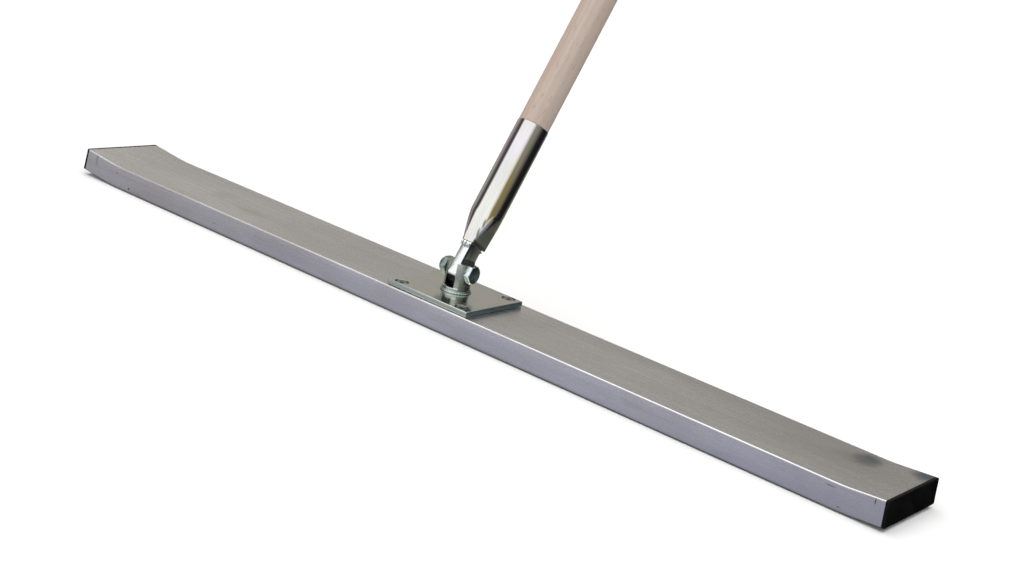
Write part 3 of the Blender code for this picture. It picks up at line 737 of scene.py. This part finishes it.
WELD_INNER = 0.0138
WELD_WIDTH = 0.002
WELD_HEIGHT = 0.0027
WELD_STEPS = 192
WELD_RIPPLES = 34
WELD_SWELL = (0.8, 0.15, 0.16)  # the least, what ripples add, and what unevenness adds
rows = []
for i in range(WELD_STEPS):
    turn = 2 * pi * i / WELD_STEPS
    ripple = 0.5 + 0.5 * sin(WELD_RIPPLES * turn + 1.5 * sin(3 * turn))
    uneven = noise.noise(Vector((3 * cos(turn), 3 * sin(turn), 0.4)))
    swell = WELD_SWELL[0] + WELD_SWELL[1] * ripple + WELD_SWELL[2] * uneven
    row = [(WELD_INNER, 0.0), (WELD_INNER, WELD_HEIGHT * swell)]
    for point_x, point_z in arc((1, 1), 0.8, 185, 265, 8):
        row.append((WELD_INNER + WELD_WIDTH * swell * point_x, WELD_HEIGHT * swell * point_z))
    row.append((WELD_INNER + WELD_WIDTH * swell, 0.0))
    rows.append([(radius * cos(turn), radius * sin(turn), fork_low.z + height) for radius, height in row])
fork_weld = new_piece("fork_weld_visual", skin("fork_weld", rows, looped=True))
shade(fork_weld, 60)
weld_zinc = plated(
    "plated_weld",
    cloud=0.006, roughness=0.32, variation=0.2, relief=0.0001,
    warm=(0.42, 0.5, 0.47), cool=(0.29, 0.38, 0.37), dull=(0.14, 0.2, 0.2),
)
mount(fork_weld, "float", "plated_weld", weld_zinc, "fork_weld")


# -------------------- pivot bolt
# An M10 hexagon bolt, 17 mm across its flats, that the handle tilts on. The head's face
# is chamfered at its corners and left plain.

HEX_CORNER = 0.017 / sqrt(3)
HEX_HALF_FLATS = 0.0085
HEX_CHAMFER = 0.0013
BOLT_HEAD_HEIGHT = 0.0066
BOLT_RADIUS = 0.0049
HEX_EDGE = 0.00035
WASHER_FACE = 0.0004
TURNING_CLEARANCE = 0.0001
SHANK_POINT = 0.001
HEAD_OVERLAP = 0.002
seat = FORK_FLAT + GAP
nut_end = 0.0088  # how far the shank goes past the nut's seat


def painted_shade_on_head_end(tree, place):
    """Full on the bolt head's flat end, which gets painted shade."""
    z = axes(tree, place)[2]
    return spread(tree, z, BOLT_HEAD_HEIGHT - 0.0005, BOLT_HEAD_HEIGHT - 0.0002)


fastener_zinc = plated(
    "zinc_fastener",
    cloud=0.008, roughness=0.16, variation=0.12, relief=0.00003,
    warm=(0.8, 0.86, 0.87), cool=(0.66, 0.78, 0.8), dull=(0.5, 0.6, 0.62),
    # painted shade darkens the bolt head's flat end
    painted_light_and_edges=[(painted_shade_on_head_end, (0.4, 0.54, 0.57), 0.0)],
)
bolt = new_piece(
    "pivot_bolt_visual",
    prism("pivot_bolt", HEX_CORNER, BOLT_HEAD_HEIGHT, sides=6, turn=pi / 2),
    at(seat, 0, pivot.z) @ along_x,
)
profile = [
    (0, 0),
    (HEX_HALF_FLATS - TURNING_CLEARANCE, 0),
    (HEX_HALF_FLATS - TURNING_CLEARANCE, WASHER_FACE),
    (HEX_CORNER + 5 * TURNING_CLEARANCE, WASHER_FACE),
    (HEX_CORNER + TURNING_CLEARANCE, BOLT_HEAD_HEIGHT - HEX_CHAMFER),
    (HEX_HALF_FLATS * 0.97, BOLT_HEAD_HEIGHT),
    (0, BOLT_HEAD_HEIGHT),
]
head_turning = turned("head_turning", profile, steps=96)
cut(bolt, [(head_turning, bolt.matrix_world)], "INTERSECT")
soften(bolt, HEX_EDGE, 2)
shank_length = 2 * seat + nut_end
profile = [
    (0, HEAD_OVERLAP),
    (BOLT_RADIUS, HEAD_OVERLAP),
    (BOLT_RADIUS, SHANK_POINT - shank_length),
    (BOLT_RADIUS - SHANK_POINT, -shank_length),
    (0, -shank_length),
]
shank = turned("bolt_shank", profile, steps=48)
cut(bolt, [(shank, bolt.matrix_world)], "UNION")
shade(bolt, 30)
mount(bolt, "float", "zinc_fastener", fastener_zinc, "pivot_bolt")


# -------------------- lock nut
# A hexagon nut, chamfered on both sides, with a turned collar that holds a nylon ring.
# The ring grips the bolt's thread, so the nut stays put as the handle tilts.

NUT_HEIGHT = 0.0066
COLLAR_HEIGHT = 0.0022
COLLAR_RADIUS = 0.0069
COLLAR_ROUNDING = 0.0009
COLLAR_FOOT = 0.0004
NUT_OVERLAP = 0.001
RING_SEAT_WALL = 0.0011
nut_place = at(-seat, 0, pivot.z) @ Matrix.Rotation(-pi / 2, 4, "Y")
nut_blank = prism("lock_nut", HEX_CORNER, NUT_HEIGHT, sides=6, turn=pi / 2)
nut = new_piece("lock_nut_visual", nut_blank, nut_place)
profile = [
    (0, 0),
    (HEX_HALF_FLATS * 0.97, 0),
    (HEX_CORNER + TURNING_CLEARANCE, HEX_CHAMFER * 0.7),
    (HEX_CORNER + TURNING_CLEARANCE, NUT_HEIGHT - HEX_CHAMFER),
    (HEX_HALF_FLATS * 0.95, NUT_HEIGHT),
    (0, NUT_HEIGHT),
]
nut_turning = turned("nut_turning", profile, steps=96)
cut(nut, [(nut_turning, nut_place)], "INTERSECT")
soften(nut, HEX_EDGE, 2)
collar_top = NUT_HEIGHT + COLLAR_HEIGHT
profile = [
    (0, collar_top),
    (COLLAR_RADIUS - COLLAR_ROUNDING, collar_top),
    (COLLAR_RADIUS - COLLAR_ROUNDING / 3, collar_top - COLLAR_ROUNDING / 3),
    (COLLAR_RADIUS, collar_top - COLLAR_ROUNDING),
    (COLLAR_RADIUS, NUT_HEIGHT + COLLAR_FOOT),
    (COLLAR_RADIUS + COLLAR_FOOT, NUT_HEIGHT - NUT_OVERLAP),
    (0, NUT_HEIGHT - NUT_OVERLAP),
]
collar = turned("nut_collar", profile, steps=64)
cut(nut, [(collar, nut_place)], "UNION")
bore = prism("nut_bore", BOLT_RADIUS + GAP, CUTTER, sides=48)
ring_seat = prism("ring_seat", COLLAR_RADIUS - RING_SEAT_WALL, CUTTER, sides=48)
bore_place = nut_place @ at(0, 0, -CUTTER / 4)
cut(nut, [(bore, bore_place), (ring_seat, nut_place @ at(0, 0, NUT_HEIGHT + COLLAR_FOOT))])
shade(nut, 30)
# The nut gets a darker copy of the fastener zinc: painted shade.
shaded_nut_zinc = plated(
    "shaded_zinc_nut",
    cloud=0.006, roughness=0.24, variation=0.14, relief=0.00003,
    warm=(0.3, 0.35, 0.33), cool=(0.25, 0.31, 0.3), dull=(0.18, 0.22, 0.21),
)
mount(nut, "float", "zinc_fastener", shaded_nut_zinc, "lock_nut")

ring_outer, ring_inner = COLLAR_RADIUS - RING_SEAT_WALL - 0.0001, BOLT_RADIUS + 0.0001
profile = [
    (ring_outer, NUT_HEIGHT + 0.0005),
    (ring_outer, collar_top - 0.0003),
    (ring_outer - 0.0002, collar_top - 0.0001),
    (ring_inner, collar_top - 0.0002),
    (ring_inner, NUT_HEIGHT + 0.0005),
]
lock_ring = new_piece("lock_ring", turned("lock_ring", profile, steps=48, closed=True), nut_place)
shade(lock_ring)
mount(lock_ring, "float", "black_plastic", plastic)


# -------------------- tongue
# A flat steel bar, round at its lower end and drilled for the bolt, that turns in the
# fork's slot. Above, it is narrower and runs up inside the socket.

TONGUE_HALF_WIDTH = 0.0108
TONGUE_THICKNESS = 0.0098
TONGUE_EDGE = 0.0004
TONGUE_DROP = 0.0035
TANG_HALF_WIDTH = 0.008
TANG_START = 0.031
TANG_STEP = 0.0005
TONGUE_TOP = 0.054
LEAN = radians(28)  # from upright, at rest
handle_frame = Matrix.Translation(pivot) @ Matrix.Rotation(-LEAN, 4, "X")

tongue_outline = arc((0, -TONGUE_DROP), TONGUE_HALF_WIDTH, 180, 360, steps=40) + [
    (TONGUE_HALF_WIDTH, TANG_START),
    (TANG_HALF_WIDTH, TANG_START + TANG_STEP),
    (TANG_HALF_WIDTH, TONGUE_TOP),
    (-TANG_HALF_WIDTH, TONGUE_TOP),
    (-TANG_HALF_WIDTH, TANG_START + TANG_STEP),
    (-TONGUE_HALF_WIDTH, TANG_START),
]
tongue_sides = [[(side * TONGUE_THICKNESS / 2, y, z) for y, z in tongue_outline] for side in (-1, 1)]
tongue = new_piece("tongue_visual", slab("tongue", *tongue_sides), handle_frame)
cut(tongue, [(drill, handle_frame @ at(-CUTTER / 2, 0, 0) @ along_x)])
soften(tongue, TONGUE_EDGE, 3)
shade(tongue, 20)


def painted_shade_below_pivot(tree, place):
    """Full on the tongue's round end, down in the slot, where painted shade darkens it."""
    z = axes(tree, place)[2]
    return spread(tree, z, -TONGUE_DROP - 0.0056, -TONGUE_DROP - 0.0042, 1.0, 0.0)


tongue_zinc = plated(
    "zinc_tongue",
    cloud=0.01, roughness=0.2, variation=0.14, relief=0.00005,
    warm=(0.91, 0.93, 0.92), cool=(0.86, 0.9, 0.89), dull=(0.76, 0.8, 0.79),
    # painted shade darkens the tongue's round end in the slot
    painted_light_and_edges=[(painted_shade_below_pivot, (0.02, 0.022, 0.02), 0.3)],
)
mount(tongue, "handle_side", "zinc_fork", tongue_zinc, "tongue")


# -------------------- handle socket
# Sheet steel rolled to a tube round the pole, its two edges meeting in a seam, and
# pressed flat on the tongue at its lower end. It is bright zinc plated all over.

SOCKET_BOTTOM = 0.028
SOCKET_TOP = 0.1596
SOCKET_RADIUS = 0.0166
SOCKET_WALL = 0.0011
SOCKET_OFFSET = 0.003
PRESSED_SIZE = (0.0146, 0.028)
PRESSED_BACK = 0.0012
PRESSED_CORNER = 0.0028
PRESSED_TOP = 0.031
ROUND_FROM = 0.06
TAPER_EASE = 1.25
SEAM_GAP = 0.0002
SEAM_CORNER = 0.00154  # how far the seam's corners are ground off at the top
CORNER_STEPS = 14


def socket_ring(height, inset):
    """The socket's outline at one height: pressed flat below, round above."""
    width, depth = (size - 2 * inset for size in PRESSED_SIZE)
    pressed = rounded_outline(width, depth, PRESSED_CORNER - inset, CORNER_STEPS)
    quarter_count = len(pressed) // 4
    spread_out = min(max((height - PRESSED_TOP) / (ROUND_FROM - PRESSED_TOP), 0), 1)
    spread_out = 1 - (1 - spread_out) ** TAPER_EASE
    ring = []
    for index, (x, y) in enumerate(pressed):
        quarter, step = divmod(index, quarter_count)
        turn = radians(90 * quarter + 90 * (step + 0.5) / quarter_count)
        round_x = (SOCKET_RADIUS - inset) * cos(turn)
        round_y = (SOCKET_RADIUS - inset) * sin(turn) - SOCKET_OFFSET
        y += PRESSED_BACK
        ring.append((x + (round_x - x) * spread_out, y + (round_y - y) * spread_out))
    return ring


seam_index = 3 * (CORNER_STEPS + 1) + CORNER_STEPS // 2
heights = [SOCKET_BOTTOM, SOCKET_BOTTOM + 0.0015]
for low, high, first, count in ((PRESSED_TOP, ROUND_FROM, 0, 24), (ROUND_FROM, SOCKET_TOP, 1, 16)):
    heights += [low + (high - low) * i / count for i in range(first, count + 1)]
shape = bmesh.new()
walls = []
for height in heights:
    row = []
    for inset in (0, SOCKET_WALL):
        ring = socket_ring(height, inset)
        ring = ring[seam_index:] + ring[: seam_index + 1]
        row.append([shape.verts.new((x, y, height)) for x, y in ring])
    walls.append(row)
for lower, upper in zip(walls, walls[1:]):
    for one, two in zip(lower, upper):
        for i in range(len(one) - 1):
            shape.faces.new((one[i], one[i + 1], two[i + 1], two[i]))
    for end in (0, -1):
        shape.faces.new((lower[0][end], upper[0][end], upper[1][end], lower[1][end]))
for outer, inner in (walls[0], walls[-1]):
    for i in range(len(outer) - 1):
        shape.faces.new((outer[i], outer[i + 1], inner[i + 1], inner[i]))
for row in walls:
    for wall in row:
        for first, second in ((wall[0], wall[1]), (wall[-1], wall[-2])):
            first.co += (second.co - first.co).normalized() * SEAM_GAP / 2
for wall in walls[-1]:
    for corner in (wall[0], wall[-1]):
        corner.co.z -= SEAM_CORNER
socket = new_piece("handle_socket_visual", solid("handle_socket", shape), handle_frame)
SCREW_AT = 0.112
SCREW_HOLE_RADIUS = 0.0022
facing_back = Matrix.Rotation(-pi / 2, 4, "X")
socket_drill = prism("socket_drill", SCREW_HOLE_RADIUS, CUTTER, sides=32)
cut(socket, [(socket_drill, handle_frame @ at(0, 0, SCREW_AT) @ facing_back)])
shade(socket)

tube_zinc, tree, surface, place = new_finish("bright_zinc_tube", 1.0)
zinc = use(
    tree,
    zinc_plating,
    {
        "Vector": stretch(tree, place, (1.6, 1.6, 0.3)),
        "Cloud Size": 0.02,
        "Warm": (0.84, 0.82, 0.7, 1),
        "Cool": (0.8, 0.84, 0.84, 1),
        "Dull": (0.66, 0.66, 0.6, 1),
        "Roughness": 0.11,
        "Roughness Spread": 0.05,
    },
)
streaks = use(tree, drawn_lines, {"Vector": place, "Scale": (900, 900, 9), "Contrast": 0.6})["Lines"]
films = grain(tree, stretch(tree, place, (90, 90, 5)), 1.0, 2.0)
FILM_STOPS = (
    (0.3, (0.86, 0.8, 0.9)),
    (0.7, (0.9, 0.84, 0.86)),
    (0.7001, (0.9643, 0.9143, 0.7286)),
    (1.0, (1, 1, 1)),
)
film = ramp(tree, films, FILM_STOPS)
colour = tint(tree, 0.55, zinc["Color"], film, "MULTIPLY")
FILMS = (  # heading round the tube in degrees, height, size, colour, strength
    (-38, 0.085, (0.0042, 0.0042, 0.05), (0.74, 0.58, 0.16), 0.85),
    (-36, 0.135, (0.005, 0.005, 0.045), (0.72, 0.68, 0.46), 0.6),
    (-40, 0.062, (0.0045, 0.0045, 0.018), (0.66, 0.48, 0.12), 0.8),
    (-113, 0.128, (0.0045, 0.0045, 0.036), (0.7, 0.46, 0.62), 0.75),
    (-138, 0.14, (0.005, 0.005, 0.04), (0.8, 0.8, 0.55), 0.7),
    (-72, 0.136, (0.01, 0.01, 0.034), (0.88, 0.83, 0.94), 0.6),
    (-72, 0.06, (0.012, 0.012, 0.05), (0.88, 0.9, 0.8), 0.55),
)
for heading, height, size, hue, strength in FILMS:
    round_x, round_y = SOCKET_RADIUS * cos(radians(heading)), SOCKET_RADIUS * sin(radians(heading))
    mask = spot(tree, place, (round_x, round_y - SOCKET_OFFSET, height), size, 0.85, 0.5)
    colour = wash(tree, colour, mask, strength, hue)
PRESSED_MARKS = (  # middle, size, colour, strength
    ((0.01, 0.003, 0.036), (0.0055, 0.0165, 0.024), (0.4, 0.52, 0.46), 0.8),
    ((0.0098, -0.014, 0.049), (0.0012, 0.003, 0.007), (0.2, 0.16, 0.06), 0.8),
    ((0.0078, -0.0135, 0.038), (0.0012, 0.003, 0.008), (0.16, 0.15, 0.08), 0.8),
)
for middle, size, hue, strength in PRESSED_MARKS:
    colour = wash(tree, colour, spot(tree, place, middle, size, 0.6), strength, hue)
colour = wash(tree, colour, streaks, 0.12, (0.5, 0.5, 0.45))
rough = sums(tree, "MULTIPLY_ADD", streaks, 0.05, zinc["Roughness"])
height = sums(tree, "MULTIPLY_ADD", streaks, 0.4, zinc["Height"])
dress(tree, surface, colour, rough, height, 0.00003, 0.4)
mount(socket, "handle_side", "bright_zinc_tube", tube_zinc, "handle_socket")


# -------------------- welds on the socket
# A short bead on each edge of the tongue, laid across against the socket's rim.

BEADS = (  # name, side, length, thickness and height
    ("socket_weld_front", -1, 0.011, 0.0034, 0.0062),
    ("socket_weld_back", 1, 0.0094, 0.0042, 0.0044),
)
bead_zinc = plated(
    "plated_bead",
    cloud=0.004, roughness=0.2, variation=0.2, relief=0.0002,
    warm=(0.8, 0.8, 0.76), cool=(0.5, 0.54, 0.54), dull=(0.06, 0.06, 0.05),
)
BEAD_STEPS = 24
BEAD_SIDES = 16
BEAD_RIPPLES = 3
BEAD_END = 0.12  # how thick the ends are, as a part of the middle
ring = arc((0, 0), 1.0, 0, 360 - 360 / BEAD_SIDES, BEAD_SIDES - 1)
for name, side, length, thickness, tall in BEADS:
    bead_reach = TONGUE_HALF_WIDTH + GAP + thickness / 2
    rows = []
    for i in range(BEAD_STEPS + 1):
        along = i / BEAD_STEPS
        ripple = 0.84 + 0.16 * sin(BEAD_RIPPLES * 2 * pi * along + 1)
        full = max(BEAD_END, (1 - (2 * along - 1) ** 4) ** 0.5) * ripple
        x = (along - 0.5) * length
        rows.append([(x, thickness / 2 * full * a, tall / 2 * full * b) for a, b in ring])
    rows = [[(rows[0][0][0], 0, 0)], *rows, [(rows[-1][0][0], 0, 0)]]
    bead = new_piece(
        name + "_visual",
        skin(name, rows),
        handle_frame @ at(0, side * bead_reach, SOCKET_BOTTOM - GAP - tall / 2),
    )
    shade(bead, 60)
    mount(bead, "handle_side", "plated_weld", bead_zinc, name)


# -------------------- handle
# A turned beech pole, 32 mm across, rounded at its top and left without varnish. Its
# lower end is turned down to fill the socket, and is drilled for one screw.

HANDLE_LENGTH = 1.5
HANDLE_RADIUS = 0.0162
SPIGOT_RADIUS = 0.0152
HANDLE_BOTTOM = 0.068
TOP_ROUNDING = 0.008
SHOULDER_EDGE = 0.0004
HANDLE_UNEVENNESS = 0.008  # as a part of its radius
POLE_STEPS = 56
profile = [(0, HANDLE_LENGTH)]
profile += arc((HANDLE_RADIUS - TOP_ROUNDING, HANDLE_LENGTH - TOP_ROUNDING), TOP_ROUNDING, 90, 0, 10)
shoulder = SOCKET_TOP + GAP - HANDLE_BOTTOM
for i in range(1, POLE_STEPS):
    profile.append((HANDLE_RADIUS, HANDLE_LENGTH + (shoulder - HANDLE_LENGTH) * i / POLE_STEPS))
profile += [(HANDLE_RADIUS, shoulder + SHOULDER_EDGE), (HANDLE_RADIUS - SHOULDER_EDGE, shoulder)]
profile += [(SPIGOT_RADIUS, shoulder), (SPIGOT_RADIUS, 0.001), (SPIGOT_RADIUS - 0.001, 0), (0, 0)]
handle_mesh = turned("handle", profile, steps=72)
for vert in handle_mesh.vertices:
    uneven = noise.noise(Vector((vert.co.x * 25, vert.co.y * 25, vert.co.z * 3)))
    scale = min(1 - HANDLE_UNEVENNESS * (0.5 + uneven), 1)
    vert.co.x *= scale
    vert.co.y *= scale
handle_place = handle_frame @ at(0, -SOCKET_OFFSET, HANDLE_BOTTOM)
handle = new_piece("handle_visual", handle_mesh, handle_place)
HANDLE_SCREW_LENGTH = 0.016
screw_seat = SOCKET_RADIUS - SOCKET_OFFSET + GAP
drill_from = screw_seat - HANDLE_SCREW_LENGTH - 0.0005
pole_drill = prism("pole_drill", SCREW_HOLE_RADIUS, CUTTER, sides=24)
cut(handle, [(pole_drill, handle_frame @ at(0, drill_from, SCREW_AT) @ facing_back)])
shade(handle)

beech, tree, surface, place = new_finish("beech_wood", 0.0)
rings = add(
    tree,
    "TexWave",
    {
        "Vector": stretch(tree, place, (55, 20, 1.1)),
        "Scale": 1.0,
        "Distortion": 5.0,
        "Detail": 3.0,
        "Detail Scale": 0.8,
        "Detail Roughness": 0.6,
    },
    bands_direction="X",
).outputs["Fac"]
fibres = use(tree, drawn_lines, {"Vector": place, "Scale": (1400, 1400, 22), "Contrast": 0.6})["Lines"]
broad = grain(tree, stretch(tree, place, (75, 75, 2.2)), 1.0, 3.0)
flecks = grain(tree, stretch(tree, place, (900, 900, 95)), 1.0, 1.0)
flecks = spread(tree, flecks, 0.66, 0.74)
colour = tint(tree, spread(tree, broad, 0.3, 0.7), (0.47, 0.345, 0.275, 1), (0.48, 0.405, 0.355, 1))
colour = wash(tree, colour, rings, 0.45, (0.42, 0.29, 0.22))
colour = wash(tree, colour, fibres, 0.3, (0.56, 0.49, 0.44))
colour = wash(tree, colour, flecks, 0.55, (0.24, 0.16, 0.12))
rough = sums(tree, "MULTIPLY_ADD", fibres, 0.12, 0.5)
dress(tree, surface, colour, rough, sums(tree, "SUBTRACT", fibres, flecks), 0.00008, 0.5)
mount(handle, "handle_side", "beech_wood", beech, "handle")


# -------------------- handle screw
# A round-headed wood screw with a cross recess, driven through the back of the socket
# into the pole.

HEAD_RADIUS = 0.004
HEAD_HEIGHT = 0.0022
WOOD_SCREW_RADIUS = 0.0019
WOOD_SCREW_POINT = 0.003
RECESS = (0.0042, 0.0009, 0.003)
profile = [(0, HEAD_HEIGHT)]
profile += [(HEAD_RADIUS * sin(radians(a)), HEAD_HEIGHT * cos(radians(a))) for a in range(10, 91, 10)]
profile += [
    (WOOD_SCREW_RADIUS, 0),
    (WOOD_SCREW_RADIUS, WOOD_SCREW_POINT - HANDLE_SCREW_LENGTH),
    (0, -HANDLE_SCREW_LENGTH),
]
screw_place = handle_frame @ at(0, screw_seat, SCREW_AT) @ facing_back
handle_screw = new_piece("handle_screw_visual", turned("handle_screw", profile, steps=40), screw_place)
length, width, depth = RECESS
recess = [block("recess", (length, width, depth)), block("recess", (width, length, depth))]
cut(handle_screw, [(mesh, screw_place @ at(0, 0, HEAD_HEIGHT)) for mesh in recess])
shade(handle_screw)
mount(handle_screw, "handle_side", "zinc_fastener", fastener_zinc, "handle_screw")


# -------------------- studio
# A plain pale floor, one wide soft light overhead and in front, and darker walls to the sides and behind
# that give the bright metal its contrast. The floor glows with painted reflections that only the metal
# shows: dark behind and to the right, lavender in front with a dark strip along the blade's front, white
# further forward.

FLOOR_RADIUS = 30.0
FLOOR_DROP = 0.0005
disc = turned("floor", [(0, 0), (FLOOR_RADIUS, 0)], steps=64)
floor = new_piece("floor", disc, at(0, 0, -FLOOR_DROP))
floor_paint = bpy.data.materials.new("floor_paint")
floor_paint.use_nodes = True
tree = floor_paint.node_tree
tree.nodes.clear()
place = tree.nodes.new("ShaderNodeTexCoord").outputs["Object"]
across = axes(tree, place)
# Painted reflections: the floor glows in these colours for glossy rays only, and the camera sees plain
# white paint.
past_right = spread(tree, across[0], -0.1, 0.25)
forwards = spread(tree, across[1], 0.02, -0.06)
painted_reflection_behind = tint(tree, past_right, (0.26, 0.25, 0.21, 1), (0.012, 0.014, 0.016, 1))
past_left = spread(tree, across[0], -0.4, -0.05)
painted_lavender_reflection = tint(tree, past_left, (0.385, 0.385, 0.43, 1), (0.43, 0.435, 0.53, 1))
painted_lavender_reflection = tint(tree, spread(tree, across[0], 0.2, 0.45), painted_lavender_reflection, (0.36, 0.37, 0.47, 1))
painted_lavender_reflection = tint(tree, spread(tree, across[1], -0.053, -0.0505), painted_lavender_reflection, (0.1, 0.1, 0.11, 1))
seen = tint(tree, forwards, painted_reflection_behind, painted_lavender_reflection)
seen = tint(tree, spread(tree, across[1], -0.3, -0.6), seen, (1.05, 1.05, 1.04, 1))
paint = add(tree, "BsdfDiffuse", {"Color": (0.92, 0.92, 0.92, 1)}).outputs[0]
# the painted reflection glows, though the floor is no lamp
painted_reflection_glow = add(tree, "Emission", {"Color": seen, "Strength": 1.0}).outputs[0]
glossy = add(tree, "LightPath").outputs["Is Glossy Ray"]
mixed = add(tree, "MixShader", {0: glossy, 1: paint, 2: painted_reflection_glow}).outputs[0]
add(tree, "OutputMaterial", {"Surface": mixed})
floor.data.materials.append(floor_paint)

scene = bpy.context.scene
world = bpy.data.worlds.new("studio")
scene.world = world
world.use_nodes = True
tree = world.node_tree
tree.nodes.clear()
heading = axes(tree, tree.nodes.new("ShaderNodeTexCoord").outputs["Generated"])
azimuth = sums(tree, "ARCTAN2", heading[0], sums(tree, "MULTIPLY", heading[1], -1.0))
azimuth = sums(tree, "DEGREES", azimuth)
DOME_STRENGTH = 2.0
WALLS = (  # heading in degrees, 0 in front and 90 to the right, and the light from there
    (-180, 0.2), (-150, 0.38), (-125, 0.5), (-100, 0.42),
    (-84, 0.26), (-74, 0.06), (-57, 0.05), (-46, 1.15),
    (-10, 1.02), (46, 1.1), (62, 0.34), (88, 0.26),
    (104, 0.1), (118, 0.02), (160, 0.03), (180, 0.2),
)
WHITE_WALL, WARM_WALL = (1, 1, 1), (1.0, 0.965, 0.9)
stops = []
for angle, light in WALLS:
    hue = WHITE_WALL if light > 1 else WARM_WALL
    stops.append(((angle + 180) / 360, [light / DOME_STRENGTH * channel for channel in hue]))
walls = ramp(tree, sums(tree, "MULTIPLY_ADD", azimuth, 1 / 360, 0.5), stops)
overhead = spread(tree, heading[2], 0.62, 0.85)
dome = tint(tree, overhead, walls, (1.0, 1.0, 1.0, 1))
lit = add(tree, "Background", {"Color": dome, "Strength": DOME_STRENGTH}).outputs[0]
backdrop = add(tree, "Background", {"Color": (1, 1, 1, 1), "Strength": 1.0}).outputs[0]
straight = add(tree, "LightPath").outputs["Is Camera Ray"]
mixed = add(tree, "MixShader", {0: straight, 1: lit, 2: backdrop}).outputs[0]
add(tree, "OutputWorld", {"Surface": mixed})

CAMERA_PLACE = (0.9646, -1.3358, 0.5214)
CAMERA_HEADING = radians(33.971)
CAMERA_LOOKS_DOWN = radians(16.185)
CAMERA_ROLL = radians(12.126)
camera_data = bpy.data.cameras.new("camera")
camera_data.lens = 61.73
camera_data.sensor_width = 36.0
camera = bpy.data.objects.new("camera", camera_data)
scene.collection.objects.link(camera)
level_back = Vector((sin(CAMERA_HEADING), -cos(CAMERA_HEADING), 0))
back = level_back * cos(CAMERA_LOOKS_DOWN) + Vector((0, 0, sin(CAMERA_LOOKS_DOWN)))
level_right = Vector((cos(CAMERA_HEADING), sin(CAMERA_HEADING), 0))
level_up = back.cross(level_right)
right = level_right * cos(CAMERA_ROLL) + level_up * sin(CAMERA_ROLL)
up = level_up * cos(CAMERA_ROLL) - level_right * sin(CAMERA_ROLL)
turned_camera = Matrix((right, up, back)).transposed().to_4x4()
camera.matrix_world = Matrix.Translation(CAMERA_PLACE) @ turned_camera
scene.camera = camera
scene.view_settings.view_transform = "Standard"
